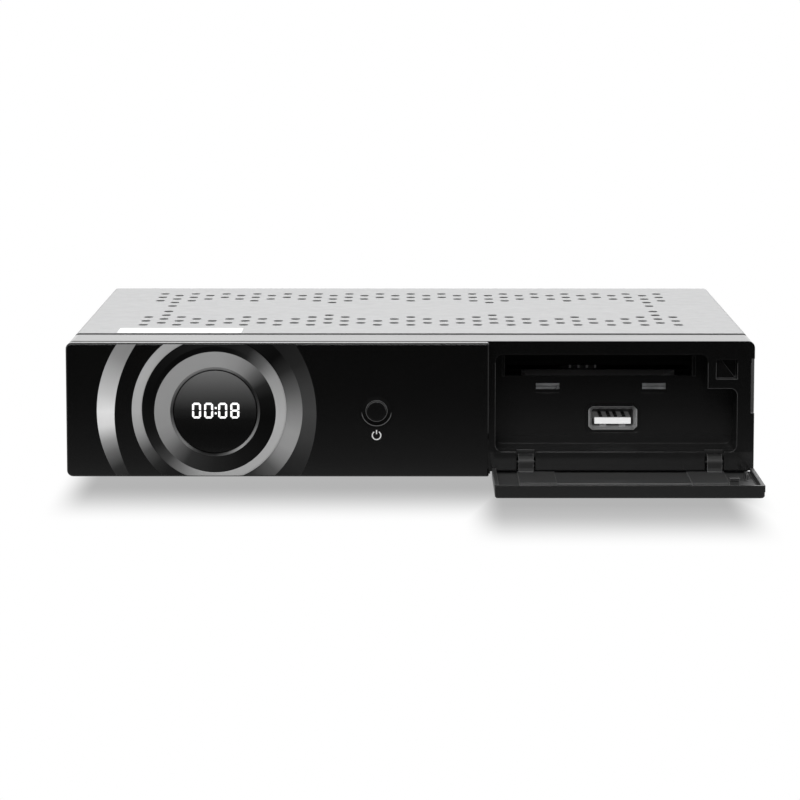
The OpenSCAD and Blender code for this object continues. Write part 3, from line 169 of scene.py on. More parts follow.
class Finish(Graph):
    """A procedural material that is built up from a Principled shader."""

    def __init__(self, name, colour, roughness, metallic=0.0):
        self.material = bpy.data.materials.new(name)
        self.material.use_nodes = True
        super().__init__(self.material.node_tree)
        self.shader = self.tree.nodes["Principled BSDF"]
        self.colour = tuple(colour)
        self.roughness = roughness
        self.shader.inputs["Base Color"].default_value = self.colour
        self.shader.inputs["Roughness"].default_value = roughness
        self.shader.inputs["Metallic"].default_value = metallic
        self.point = self.add("ShaderNodeTexCoord").outputs["Object"]

    def present(self, socket):
        """What feeds a socket of the shader now."""
        return self.shader.inputs[socket].links[0].from_socket

    def noise(self, scale, stretch=(1, 1, 1), detail=MOTTLE_DETAIL):
        mapping = self.add("ShaderNodeMapping")
        mapping.inputs["Scale"].default_value = stretch
        texture = self.add("ShaderNodeTexNoise")
        texture.inputs["Scale"].default_value = scale
        texture.inputs["Detail"].default_value = detail
        texture.inputs["Roughness"].default_value = NOISE_ROUGHNESS
        self.link(self.point, mapping, "Vector")
        self.link(mapping.outputs["Vector"], texture, "Vector")
        return texture.outputs["Fac"]

    def mottle(self, scale, amount, stretch=(1, 1, 1)):
        """Small changes of brightness across the surface."""
        base = self.colour[:3]
        dark = [c * (1 - amount) for c in base] + [1]
        light = [min(1, c * (1 + amount)) for c in base] + [1]
        tones = self.colours(self.noise(scale, stretch), [(NOISE_LOW, dark), (NOISE_HIGH, light)])
        self.link(tones, self.shader, "Base Color")
        return self

    def uneven(self, scale, amount, stretch=(1, 1, 1)):
        """Changes of roughness across the surface, as handling and moulding leave them."""
        value = self.scaled(self.noise(scale, stretch), NOISE_LOW, NOISE_HIGH,
                            self.roughness - amount, self.roughness + amount)
        self.link(value, self.shader, "Roughness")
        return self

    def relief(self, scale=0.0, depth=0.0, edge=0.0, stretch=(1, 1, 1)):
        """Fine grain of a given depth, and edges rounded by a radius."""
        normal = None
        if edge:
            self.bevel = self.add("ShaderNodeBevel", samples=ROUND_SAMPLES)
            self.bevel.inputs["Radius"].default_value = edge
            normal = self.bevel.outputs["Normal"]
        if depth:
            bump = self.add("ShaderNodeBump")
            bump.inputs["Distance"].default_value = depth
            self.link(self.noise(scale, stretch, RELIEF_DETAIL), bump, "Height")
            if normal:
                self.link(normal, bump, "Normal")
            normal = bump.outputs["Normal"]
        self.link(normal, self.shader, "Normal")
        return self

    def sheen(self, level):
        """Strength of the plain reflection; 0.5 is usual plastic."""
        self.shader.inputs["Specular IOR Level"].default_value = level
        return self

    def coat(self, weight):
        self.shader.inputs["Coat Weight"].default_value = weight
        self.shader.inputs["Coat Roughness"].default_value = COAT_ROUGHNESS
        return self

    def ramp(self, factor, stops, ease="LINEAR"):
        """Base colour from a factor, through stops of (place, colour or display grey)."""
        tones = [(place, tone if isinstance(tone, tuple) else grey(tone)) for place, tone in stops]
        self.link(self.colours(factor, tones, ease), self.shader, "Base Color")
        return self

    def turn_to(self, factor, level):
        """Goes over from the present base colour to a display grey by a factor."""
        node = self.add("ShaderNodeMix", data_type="RGBA")
        present = self.present("Base Color")
        self.link(factor, node, 0)
        self.link(present, node, 6)
        node.inputs[7].default_value = grey(level)
        self.link(node.outputs[2], self.shader, "Base Color")
        return self

    def along(self, axis, start, end, low=0.0, high=1.0):
        """Value that goes from low to high between two places on an axis."""
        return self.scaled(self.split(self.point)[axis], start, end, low, high)

    def spread_between(self, factor, low, high):
        """Value that goes from low to high with a factor."""
        return self.scaled(factor, 0, 1, low, high)

    def times(self, a, b):
        return self.calculate("MULTIPLY", a, b)

    def within(self, axis, start, end):
        """1 between two places on an axis, 0 beyond them."""
        return self.times(self.along(axis, start - ZONE_BLUR, start),
                          self.along(axis, end + ZONE_BLUR, end))

    def edges(self, radius):
        """1 along rounded edges of a given radius, 0 on the faces between them."""
        bevel = self.add("ShaderNodeBevel", samples=EDGE_SAMPLES)
        bevel.inputs["Radius"].default_value = radius
        plain = self.add("ShaderNodeNewGeometry").outputs["Normal"]
        alike = self.calculate_vector("DOT_PRODUCT", bevel.outputs["Normal"], plain)
        return self.scaled(alike, ON_FACE, ON_EDGE)

    def near_axis(self, x, z, inner, outer):
        """1 within a radius of an axis along Y, falling to 0 at an outer radius."""
        shift = self.calculate_vector("SUBTRACT", self.point, (x, 0, z))
        flat = self.calculate_vector("MULTIPLY", shift, (1, 0, 1))
        return self.scaled(self.calculate_vector("LENGTH", flat), outer, inner)

    def circle(self, x, z, inner, outer):
        """1 between two radii round an axis along Y, 0 elsewhere."""
        beyond = self.spread_between(self.near_axis(x, z, inner - LINE_BLUR, inner), 1, 0)
        return self.times(beyond, self.near_axis(x, z, outer, outer + LINE_BLUR))

    def flatten(self, factor, normal):
        """Turns the shading towards one direction, so that a slope keeps its face's tone."""
        present = self.present("Normal")
        node = self.add("ShaderNodeMix", data_type="VECTOR")
        self.link(factor, node, 0)
        self.link(present, node, 4)
        node.inputs[5].default_value = normal
        self.link(node.outputs[1], self.shader, "Normal")
        return self

    def glow(self, colour, strength):
        """Light of its own, in a colour or in what an output gives."""
        self.give(colour, self.shader, "Emission Color")
        self.shader.inputs["Emission Strength"].default_value = strength
        return self

    def edge_from(self, radius):
        """Edge radius from a value instead of one figure."""
        self.link(radius, self.bevel, "Radius")
        return self

    def dress(self, *names):
        """Gives this finish to every material slot of the named CAD nodes."""
        for name in names:
            for slot in nodes[name].material_slots:
                slot.material = self.material
        return self


# ---------------------------------------------------------------- the round display

lens_low, lens_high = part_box("display_lens")
DISPLAY_X = (lens_low.x + lens_high.x) / 2
DISPLAY_Z = (lens_low.z + lens_high.z) / 2
LENS_RADIUS = 12.15 * MM
LENS_CROWN = 0.5 * MM
FASCIA_FACE = lens_low.y + LENS_CROWN
fascia_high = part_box("fascia_panel")[1]
# Clock hours at which the rings' colours start and end, both at the bottom
FIRST_HOUR, HOURS = 6, 12


def clock_hours(finish):
    """Factor that runs once round the display's axis: 0 at six o'clock, clockwise to 1."""
    middle = (DISPLAY_X, 0, DISPLAY_Z)
    place = finish.split(finish.calculate_vector("SUBTRACT", finish.point, middle))
    turned = finish.add("ShaderNodeCombineXYZ")
    radial = finish.add("ShaderNodeTexGradient", gradient_type="RADIAL")
    finish.link(place["Z"], turned, "X")
    finish.link(place["X"], turned, "Y")
    finish.link(turned.outputs["Vector"], radial, "Vector")
    return radial.outputs["Fac"]


def conical(finish, hours):
    """Grey that changes with the clock hour, from six (6) round by twelve to six again (18)."""
    stops = [((hour - FIRST_HOUR) / HOURS, level) for hour, level in hours]
    return finish.ramp(clock_hours(finish), stops)


def satin_foil(name):
    """Silvery foil; conical gives it its colours, which on the lens trim are a painted highlight.
    """
    return Finish(name, grey(150), 0.4).sheen(0.12).relief(9000, 0.004 * MM)


def dress_display():
    ring = satin_foil("ring_silver")
    conical(ring, [(6, 30), (7, 48), (7.5, 94), (8, 134), (8.5, 148), (9.2, 151), (12.2, 151),
                   (12.8, 142), (13.2, 126), (13.5, 98), (14, 38), (14.5, 14), (15.2, 4),
                   (16, 8), (17, 16), (18, 30)])
    ring.dress("display_ring")

    rim = satin_foil("rim_silver")
    conical(rim, [(6, 180), (6.5, 168), (7, 126), (7.5, 68), (8, 34), (8.5, 18), (9.5, 6),
                  (11, 4), (12.5, 10), (13, 30), (13.5, 92), (14, 152), (14.6, 170),
                  (15.2, 184), (17.5, 184), (18, 180)])
    rim.dress("disc_rim")

    inner = satin_foil("arc_silver")
    conical(inner, [(6, 30), (7.3, 30), (7.6, 44), (8, 84), (8.5, 158), (9, 180), (10, 176),
                    (10.7, 164), (12, 160), (12.01, 22), (13.2, 12), (13.6, 6), (14, 40),
                    (14.5, 90), (15, 132), (15.5, 158), (15.9, 156), (16.2, 134), (16.5, 90),
                    (17, 50), (18, 30)])
    inner.dress("inner_arcs")

    shadow = satin_foil("arc_grey")
    conical(shadow, [(6, 28), (12, 28), (13.5, 26), (14, 34), (14.5, 58), (15, 68), (15.5, 62),
                     (16, 44), (16.6, 30), (18, 26)])
    shadow.dress("shadow_arc")

    outer = satin_foil("arc_bright")
    conical(outer, [(6, 40), (7.7, 42), (8, 50), (8.3, 110), (8.5, 156), (8.75, 226),
                    (9, 236), (9.3, 204), (9.5, 186), (10, 140), (10.6, 124), (12, 120),
                    (18, 40)])
    outer.dress("outer_arc")

    lens = Finish("smoked_lens", grey(20), 0.06).sheen(0.25)
    # the lens is painted lighter towards its top: a painted reflection of the bright room above
    # its dome
    lens.ramp(lens.along("Z", DISPLAY_Z - LENS_RADIUS, DISPLAY_Z + LENS_RADIUS),
              [(0, 16), (0.08, 6), (0.25, 5), (0.4, 14), (0.52, 34), (0.75, 76), (0.93, 102),
               (1, 112)])
    lens.relief(edge=0.25 * MM)
    lens.dress("display_lens")


# ---------------------------------------------------------------- mesh pieces

# Points closer than this are one point
WELD = 1e-7


def new_piece(name, mesh, body, finish):
    piece = bpy.data.objects.new(name, mesh)
    bpy.context.scene.collection.objects.link(piece)
    piece.data.materials.append(finish.material)
    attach(piece, body)
    return piece


def finished_mesh(name, work, joined=False):
    """Mesh with its faces turned outwards; joined welds plates that touch."""
    mesh = bpy.data.meshes.new(name)
    bmesh.ops.recalc_face_normals(work, faces=work.faces)
    if joined:
        bmesh.ops.remove_doubles(work, verts=work.verts, dist=WELD)
    work.to_mesh(mesh)
    work.free()
    return mesh


def side_faces(work, lower, upper):
    """Faces between two rings of as many points."""
    for i in range(len(lower)):
        j = (i + 1) % len(lower)
        work.faces.new((lower[i], upper[i], upper[j], lower[j]))


def plate_mesh(name, outlines, lift, joined=False):
    """Thin closed plates: each outline is (x, z) points, drawn out along Y between two skins.

    lift(x, z) gives the front and back Y of the plate at a point."""
    work = bmesh.new()
    for outline in outlines:
        fronts, backs = [], []
        for x, z in outline:
            front, back = lift(x, z)
            fronts.append(work.verts.new((x, front, z)))
            backs.append(work.verts.new((x, back, z)))
        work.faces.new(fronts)
        work.faces.new(list(reversed(backs)))
        side_faces(work, fronts, backs)
    return finished_mesh(name, work, joined)


def turned_mesh(name, middles, z, rows, steps=48, hollow=False):
    """Closed turned shapes along Y: rows(share of a turn) gives the profile's (radius, y) pairs.

    A hollow one joins the profile's ends to each other, another one closes them on the axis."""
    work = bmesh.new()
    for x in middles:
        rings = []
        for i in range(steps):
            turn = 2 * math.pi * i / steps
            rings.append([work.verts.new((x + radius * math.sin(turn), y,
                                          z + radius * math.cos(turn)))
                          for radius, y in rows(i / steps)])
        count = len(rings[0])
        if not hollow:
            first = work.verts.new((x, rings[0][0].co.y, z))
            last = work.verts.new((x, rings[0][-1].co.y, z))
        for i in range(steps):
            one, two = rings[i], rings[(i + 1) % steps]
            for k in range(count if hollow else count - 1):
                m = (k + 1) % count
                work.faces.new((one[k], one[m], two[m], two[k]))
            if not hollow:
                work.faces.new((first, one[0], two[0]))
                work.faces.new((last, two[-1], one[-1]))
    return finished_mesh(name, work)


# Trim between the lens and the display ring: (radius, Y behind the fascia's face)
TRIM_PROFILE = [(13.2, -0.4), (12.85, -0.25), (12.5, 0.1), (12.42, 0.5), (12.42, 4.0),
                (13.2, 4.0)]
TRIM_STEPS = 96


def make_lens_trim():
    def rows(share):
        return [(radius * MM, FASCIA_FACE + y * MM) for radius, y in TRIM_PROFILE]

    trim = satin_foil("trim_painted_highlight")
    # its tones are a painted highlight on the lip round the lens, brightest low on the right
    conical(trim, [(6, 34), (6.6, 34), (7, 72), (7.4, 124), (8, 120), (8.5, 96), (9, 58),
                   (9.4, 74), (10, 104), (11, 124), (12.6, 122), (13, 96), (13.5, 54), (14, 40),
                   (14.5, 50), (15, 68), (15.5, 94), (16, 136), (16.75, 164), (17.1, 140),
                   (17.5, 86), (18, 34)])
    mesh = turned_mesh("lens_trim", (DISPLAY_X,), DISPLAY_Z, rows, TRIM_STEPS, hollow=True)
    new_piece("lens_trim", mesh, "case", trim)


# Digits of the display
DIGIT_W = 2.62 * MM
DIGIT_H = 4.65 * MM
STROKE = 0.6 * MM
DIGIT_GAP = 0.09 * MM
DIGIT_MIDDLES = [-5.47 * MM, -1.90 * MM, 2.22 * MM, 5.79 * MM]
COLON_X = 0.18 * MM
COLON_DOT = 0.48 * STROKE
COLON_RISE = 0.17 * DIGIT_H
# How far the digits stand out of the lens and reach into it
DIGIT_OUT, DIGIT_IN = 0.03 * MM, 0.05 * MM
DIGITS_X = -57.6 * MM
DIGITS_Z = 24.4 * MM
SHOWN = "0008"
SEGMENTS = {"0": "abcdef", "8": "abcdefg"}


def dome_front(x, z):
    """Y of the lens's surface at a place."""
    share = ((x - DISPLAY_X) ** 2 + (z - DISPLAY_Z) ** 2) / LENS_RADIUS ** 2
    return FASCIA_FACE - LENS_CROWN * (1 - share)


def segment_outlines(x, z, digit):
    """Outlines of a seven-segment digit about its middle, with clipped outer corners."""
    w, h, s, g = DIGIT_W / 2, DIGIT_H / 2, STROKE, DIGIT_GAP
    shapes = {
        "a": [(-w + s * 0.4 + g, h - s * 0.4), (-w + s * 0.8 + g, h), (w - s * 0.8 - g, h),
              (w - s * 0.4 - g, h - s * 0.4), (w - s - g, h - s), (-w + s + g, h - s)],
        "f": [(-w, s * 0.1 + g), (-w, h - s * 0.8 - g), (-w + s * 0.4, h - s * 0.4 - g),
              (-w + s, h - s - g), (-w + s, s * 0.45 + g), (-w + s * 0.6, s * 0.1 + g)],
        "g": [(-w + s * 0.55 + g, 0), (-w + s + g, s / 2), (w - s - g, s / 2),
              (w - s * 0.55 - g, 0), (w - s - g, -s / 2), (-w + s + g, -s / 2)],
    }
    shapes["b"] = [(-px, pz) for px, pz in shapes["f"]]
    shapes["c"] = [(-px, -pz) for px, pz in shapes["f"]]
    shapes["d"] = [(px, -pz) for px, pz in shapes["a"]]
    shapes["e"] = [(px, -pz) for px, pz in shapes["f"]]
    return [[(x + px, z + pz) for px, pz in shapes[name]] for name in SEGMENTS[digit]]


def make_digits():
    outlines = []
    for middle, digit in zip(DIGIT_MIDDLES, SHOWN):
        outlines += segment_outlines(DIGITS_X + middle, DIGITS_Z, digit)
    corners = ((-1, -1), (1, -1), (1, 1), (-1, 1))
    for side in (-1, 1):
        x, z = DIGITS_X + COLON_X, DIGITS_Z + side * COLON_RISE
        outlines.append([(x + px * COLON_DOT, z + pz * COLON_DOT) for px, pz in corners])

    def lift(x, z):
        return dome_front(x, z) - DIGIT_OUT, dome_front(x, z) + DIGIT_IN

    lit = Finish("digit_glow", grey(245), 0.5).mottle(3000, 0.03).glow((1, 1, 1, 1), 0.6)
    new_piece("display_digits", plate_mesh("display_digits", outlines, lift), "case",
              lit)


# Standby button, and the symbol under it
button_low, button_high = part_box("standby_button")
BUTTON_X = (button_low.x + button_high.x) / 2
BUTTON_Z = (button_low.z + button_high.z) / 2
SYMBOL_Z = 17.0 * MM
SYMBOL_R = 1.25 * MM
SYMBOL_LINE = 0.32 * MM
SYMBOL_GAP = math.radians(34)
SYMBOL_STEPS = 36
SYMBOL_BAR = (0.35 * MM, 1.6 * MM)
PRINT_RELIEF = 0.03 * MM


def make_standby_symbol():
    sweep = 2 * math.pi - 2 * SYMBOL_GAP
    turns = [SYMBOL_GAP + sweep * i / SYMBOL_STEPS for i in range(SYMBOL_STEPS + 1)]
    outer, inner = SYMBOL_R + SYMBOL_LINE / 2, SYMBOL_R - SYMBOL_LINE / 2
    outlines = []
    for a, b in zip(turns, turns[1:]):
        outlines.append([(BUTTON_X + r * math.sin(t), SYMBOL_Z + r * math.cos(t))
                         for r, t in ((inner, a), (outer, a), (outer, b), (inner, b))])
    half = SYMBOL_LINE / 2
    low, high = SYMBOL_Z + SYMBOL_BAR[0], SYMBOL_Z + SYMBOL_BAR[1]
    outlines.append([(BUTTON_X - half, low), (BUTTON_X + half, low),
                     (BUTTON_X + half, high), (BUTTON_X - half, high)])

    def lift(x, z):
        return FASCIA_FACE - PRINT_RELIEF, FASCIA_FACE + PRINT_RELIEF

    print_white = Finish("print_white", grey(232), 0.45).mottle(6000, 0.04)
    mesh = plate_mesh("standby_symbol", outlines, lift, joined=True)
    new_piece("standby_symbol", mesh, "case", print_white)


# Bare label on the cover
cover_low, cover_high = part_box("top_cover")
LABEL_X = (-88.4 * MM, -50.9 * MM)
LABEL_Y = (cover_low.y + 0.5 * MM, cover_low.y + 14.2 * MM)
LABEL_T = 0.08 * MM
LABEL_CORNER = 1.2 * MM
LABEL_STEPS = 6


def make_label():
    work = bmesh.new()
    corners = [(LABEL_X[1], LABEL_Y[1], 0), (LABEL_X[0], LABEL_Y[1], 1),
               (LABEL_X[0], LABEL_Y[0], 2), (LABEL_X[1], LABEL_Y[0], 3)]
    ring = []
    for x, y, quarter in corners:
        cx = x + (LABEL_CORNER if quarter in (1, 2) else -LABEL_CORNER)
        cy = y + (LABEL_CORNER if quarter in (2, 3) else -LABEL_CORNER)
        for i in range(LABEL_STEPS + 1):
            turn = math.pi / 2 * (quarter + i / LABEL_STEPS)
            ring.append((cx + LABEL_CORNER * math.cos(turn), cy + LABEL_CORNER * math.sin(turn)))
    bottoms = [work.verts.new((x, y, cover_high.z)) for x, y in ring]
    tops = [work.verts.new((x, y, cover_high.z + LABEL_T)) for x, y in ring]
    work.faces.new(tops)
    work.faces.new(list(reversed(bottoms)))
    side_faces(work, bottoms, tops)
    mesh = finished_mesh("cover_label", work)
    paper = Finish("label_paper", grey(250), 0.6).mottle(900, 0.02).relief(2500, 0.01 * MM)
    new_piece("cover_label", mesh, "case", paper)


# Threaded aerial connectors with their plastic middles
aerial_low, aerial_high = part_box("aerial_connectors")
AERIAL_NUT_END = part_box("aerial_nuts")[1].y
AERIAL_NECK = (aerial_high.z - aerial_low.z) / 2
AERIAL_Z = (aerial_low.z + aerial_high.z) / 2
AERIAL_TIP = aerial_high.y
AERIAL_THREAD = 4.76 * MM
AERIAL_BORE = 3.4 * MM
THREAD_PITCH = 0.794 * MM
THREAD_DEPTH = 0.42 * MM
# Length over which the groove runs out at either end, and rows per turn of it
THREAD_RUN = 0.6 * MM
THREAD_ROWS = 8
TIP_CHAMFER = 0.35 * MM
# Plastic middle: depth of its face in the bore, its hole and its edge's radius
PLUG_FACE = AERIAL_TIP - 1 * MM
PLUG_RADIUS = AERIAL_BORE - 0.03 * MM
PLUG_EDGE = 0.15 * MM
PLUG_FUNNEL = 1.5 * MM
PLUG_HOLE = 0.7 * MM


def make_aerials():
    start, end = AERIAL_NUT_END + 0.3 * MM, AERIAL_TIP - 0.4 * MM
    count = int((end - start) / THREAD_PITCH * THREAD_ROWS)

    def rows(share):
        found = [(AERIAL_NECK, aerial_low.y), (AERIAL_NECK, AERIAL_NUT_END),
                 (AERIAL_THREAD, AERIAL_NUT_END + 0.05 * MM)]
        for i in range(count + 1):
            y = start + (end - start) * i / count
            phase = ((y - start) / THREAD_PITCH + share) % 1
            full = min(1, (y - start) / THREAD_RUN, (end - y) / THREAD_RUN)
            cut = THREAD_DEPTH * full * (1 - abs(2 * phase - 1))
            found.append((AERIAL_THREAD - cut, y))
        found += [(AERIAL_THREAD - TIP_CHAMFER, AERIAL_TIP), (AERIAL_BORE, AERIAL_TIP),
                  (AERIAL_BORE, AERIAL_TIP - 2.2 * MM)]
        return found

    steel = Finish("thread_steel", (0.72, 0.725, 0.73, 1), 0.22, metallic=1.0)
    steel.mottle(1200, 0.08).uneven(1500, 0.08).relief(2600, 0.003 * MM)
    middles = (aerial_low.x + AERIAL_NECK, aerial_high.x - AERIAL_NECK)
    threads = new_piece("aerial_threads", turned_mesh("aerial_threads", middles, AERIAL_Z, rows),
                        "case", steel)
    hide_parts("aerial_connectors")

    def plug_rows(share):
        return [(PLUG_RADIUS, PLUG_FACE - 1.1 * MM), (PLUG_RADIUS, PLUG_FACE - PLUG_EDGE),
                (PLUG_RADIUS - PLUG_EDGE, PLUG_FACE), (PLUG_FUNNEL, PLUG_FACE),
                (PLUG_HOLE, PLUG_FACE - 0.5 * MM), (PLUG_HOLE, PLUG_FACE - 0.9 * MM)]

    plastic = Finish("dielectric_white", (0.72, 0.72, 0.7, 1), 0.45)
    plastic.mottle(1500, 0.05).relief(2600, 0.004 * MM)
    new_piece("aerial_middles", turned_mesh("aerial_middles", middles, AERIAL_Z, plug_rows),
              "case", plastic)


# ---------------------------------------------------------------- finishes of the CAD pieces

WELL_RADIUS = 5.2 * MM
# Painted highlights round the button and low in its dish: radii and display greys
BUTTON_HIGHLIGHT, BUTTON_HIGHLIGHT_GREY = (2.95 * MM, 3.15 * MM), 115
WELL_HIGHLIGHT, WELL_HIGHLIGHT_GREY = (4.3 * MM, 4.45 * MM), 95
RAIL_TOP = 11.6 * MM
FRONT_TOP = fascia_high.z
# Height over which the rounding of the top edge comes in
SHOULDER = (FRONT_TOP - 3 * MM, FRONT_TOP - 1.5 * MM)
# The opening for the door: height, and the grey of the painted highlights on its edges
OPENING_Z, OPENING_HIGHLIGHT_GREY = (12 * MM, 38 * MM), 80
# Inside of the open door: above the skin and behind the free edge
DOOR_SKIN_TOP = 5.05 * MM
DOOR_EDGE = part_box("door")[0].y + 0.6 * MM
# Greys of the door: its inside, painted lighter than its edge as painted light from above; its
# raised knuckles, darker; and the painted highlights along the inside's edges
DOOR_INSIDE, DOOR_KNUCKLE, DOOR_HIGHLIGHT = 64, 40, 130
# Height over which the bay goes from grey at its floor to black under its roof, as painted light
# and shade, and its greys
BAY_Z = (11 * MM, 31 * MM)
BAY_LIGHT_AND_SHADE = [(0, 45), (0.045, 45), (0.05, 34), (0.3, 26), (0.6, 16), (0.95, 9), (1, 9)]
# Where the bay's back wall ends and the thumb ramp in the card mouth starts
BAY_BACK = -50.85 * MM
MOUTH_LOW = 32.15 * MM
# Greys of the painted light on the thumb ramp and of the painted highlights along the edges round
# the card mouth
THUMB_RAMP_LIGHT, MOUTH_EDGE_HIGHLIGHT = 78, 55
# Walls of the vents, painted darker as painted shade: inside these edges of the cover, from and to
# these depths under its top
VENT_SIDE, VENT_END = 4 * MM, 2 * MM
VENT_DEPTHS = (0.12 * MM, 0.3 * MM)
# Greys of the painted shade on the vents' walls and on the sheet's cut front edge
VENT_SHADE_GREY, SEAM_SHADE_GREY = 80, 8


def dress_front():
    gloss = Finish("black_gloss", grey(9), 0.07)
    gloss.uneven(60, 0.02).relief(220, 0.002 * MM, edge=0.25 * MM).coat(0.3)
    gloss.edge_from(gloss.along("Z", *SHOULDER, 0.25 * MM, 0.45 * MM))
    well = gloss.near_axis(BUTTON_X, BUTTON_Z, WELL_RADIUS, WELL_RADIUS + 0.1 * MM)
    gloss.flatten(gloss.spread_between(well, 0.0, 0.85), (0, -1, 0))
    gloss.link(gloss.spread_between(well, 0.3, 0.0), gloss.shader, "Coat Weight")
    gloss.mottle(60, 0.05)
    # painted highlights: a light circle round the button, and arcs low in its dish
    gloss.turn_to(gloss.circle(BUTTON_X, BUTTON_Z, *BUTTON_HIGHLIGHT), BUTTON_HIGHLIGHT_GREY)
    lower = gloss.along("Z", BUTTON_Z - 0.2 * MM, BUTTON_Z - 1.2 * MM)
    well_highlight = gloss.times(lower, gloss.circle(BUTTON_X, BUTTON_Z, *WELL_HIGHLIGHT))
    gloss.turn_to(well_highlight, WELL_HIGHLIGHT_GREY)
    gloss.dress("fascia_panel")

    moulding = Finish("frame_black", grey(9), 0.12)
    # below the rail's top the frame is painted lighter: painted light on its lower faces
    moulding.ramp(moulding.along("Z", RAIL_TOP - 0.2 * MM, RAIL_TOP), [(0, 30), (1, 9)])
    moulding.uneven(60, 0.03).relief(220, 0.002 * MM, edge=0.55 * MM).coat(0.3)
    # painted highlights along the edges of the opening for the door
    right = moulding.along("X", fascia_high.x + 0.5 * MM, fascia_high.x + 1 * MM)
    opening = moulding.times(right, moulding.within("Z", *OPENING_Z))
    moulding.turn_to(moulding.times(opening, moulding.edges(0.35 * MM)), OPENING_HIGHLIGHT_GREY)
    rounding = moulding.along("Z", *SHOULDER, 0.55 * MM, 0.1 * MM)
    # the frame's edge is closed off where the fascia stands before it
    beside = moulding.along("X", fascia_high.x - 0.5 * MM, fascia_high.x)
    moulding.edge_from(moulding.times(rounding, beside))
    moulding.dress("front_frame")

    door = Finish("door_black", grey(32), 0.2)
    inside = door.times(door.along("Z", DOOR_SKIN_TOP - 0.1 * MM, DOOR_SKIN_TOP),
                        door.along("Y", DOOR_EDGE, DOOR_EDGE + 0.1 * MM))
    # the inside is painted lighter than the door's edge: painted light from above on its satin
    # moulding
    door.ramp(inside, [(0, 32), (1, DOOR_INSIDE)])
    knuckles = door.along("Z", DOOR_SKIN_TOP + 1.6 * MM, DOOR_SKIN_TOP + 1.9 * MM)
    door.turn_to(knuckles, DOOR_KNUCKLE)
    # painted highlights along the edges on the door's inside
    door.turn_to(door.times(inside, door.edges(0.25 * MM)), DOOR_HIGHLIGHT)
    door.link(door.spread_between(inside, 0.2, 0.45), door.shader, "Roughness")
    door.relief(500, 0.004 * MM, edge=0.3 * MM)
    door.dress("door")

    button = Finish("button_black", grey(9), 0.09).mottle(700, 0.1)
    button.relief(220, 0.002 * MM, edge=0.2 * MM).coat(0.3)
    button.dress("standby_button")

    bay = Finish("bay_black", grey(9), 0.2)
    # the bay is painted lighter low down and darker high up: painted light and shade
    bay.ramp(bay.along("Z", *BAY_Z), BAY_LIGHT_AND_SHADE)
    # the thumb ramp is painted lighter: painted light on its sloping face
    ramp_zone = bay.times(bay.along("Y", BAY_BACK + 0.1 * MM, BAY_BACK + 0.3 * MM),
                          bay.along("Z", MOUTH_LOW - 1.2 * MM, MOUTH_LOW - 1.1 * MM))
    bay.turn_to(ramp_zone, THUMB_RAMP_LIGHT)
    bay.relief(2600, 0.004 * MM, edge=0.3 * MM)
    bay.edge_from(bay.along("Y", BAY_BACK - 11 * MM, BAY_BACK - 3 * MM, 0.4 * MM, 0.1 * MM))
    # painted highlights along the edges in front of and beside the card mouth
    mouth = bay.times(bay.along("Y", BAY_BACK - 0.4 * MM, BAY_BACK - 0.6 * MM),
                      bay.along("Z", MOUTH_LOW - 2 * MM, MOUTH_LOW - 1.9 * MM))
    bay.turn_to(bay.times(mouth, bay.edges(0.3 * MM)), MOUTH_EDGE_HIGHLIGHT)
    bay.dress("card_bay", "door_catch")

    plain = Finish("plain_black", grey(20), 0.45).mottle(700, 0.12)
    plain.relief(1800, 0.01 * MM, edge=0.15 * MM)
    plain.dress("infrared_receiver", "phono_block", "mains_inlet", "rocker_housing", "rocker",
                "hdmi_tongue", "switch_plunger")

    dark = Finish("reader_black", grey(5), 0.6).mottle(700, 0.2).sheen(0.1)
    dark.relief(1800, 0.01 * MM)
    dark.dress("card_reader")


def dress_case():
    paint = Finish("cover_paint", (0.375, 0.377, 0.381, 1), 0.42)
    paint.mottle(140, 0.025).uneven(260, 0.06).relief(2600, 0.012 * MM, edge=0.15 * MM)
    # the sheet's cut front edge is painted dark: painted shade of the seam behind the front
    paint.turn_to(paint.along("Y", cover_low.y + 0.2 * MM, cover_low.y + 0.12 * MM), SEAM_SHADE_GREY)
    # walls of the vents, inside the sheet, painted darker: painted shade in the holes
    walls = paint.times(paint.within("X", cover_low.x + VENT_SIDE, cover_high.x - VENT_SIDE),
                        paint.within("Y", cover_low.y + VENT_END, cover_high.y - VENT_END))
    depths = [cover_high.z - depth for depth in VENT_DEPTHS]
    paint.turn_to(paint.times(walls, paint.along("Z", *depths)), VENT_SHADE_GREY)
    paint.dress("top_cover")

    rear = Finish("rear_paint", grey(34), 0.4)
    rear.mottle(160, 0.08).uneven(300, 0.06).relief(2600, 0.012 * MM, edge=0.15 * MM)
    rear.dress("rear_panel")

    zinc = Finish("zinc_steel", (0.6, 0.61, 0.62, 1), 0.34, metallic=1.0)
    zinc.mottle(300, 0.1, (1, 4, 1)).uneven(420, 0.1, (1, 4, 1)).relief(1500, 0.006 * MM)
    zinc.dress("chassis_base", "reader_bracket", "tuner_can")

    rubber = Finish("foot_rubber", grey(30), 0.75).mottle(900, 0.2)
    rubber.relief(3200, 0.02 * MM)
    rubber.dress("feet")

    black_oxide = Finish("screw_black", grey(38), 0.35, metallic=0.6).mottle(1500, 0.2)
    black_oxide.relief(3000, 0.006 * MM, edge=0.1 * MM)
    black_oxide.dress("cover_screws")


# USB socket: greys of the shell over its height, painted light and shade; then, by their place
# behind each piece's front, the shell's inside darker as painted shade, the light length of the
# contacts and the tongue's sides in painted shade
SHELL_LIGHT_AND_SHADE = [(0, 150), (0.2, 215), (0.8, 215), (1, 110)]
SHELL_INSIDE, SHELL_SHADE_GREY = (1.5 * MM, 4 * MM), 130
CONTACT_SPAN, CONTACT_GREY = (1.8 * MM, 12 * MM), 100
TONGUE_SIDE, TONGUE_SHADE_GREY = (0.05 * MM, 0.2 * MM), 110


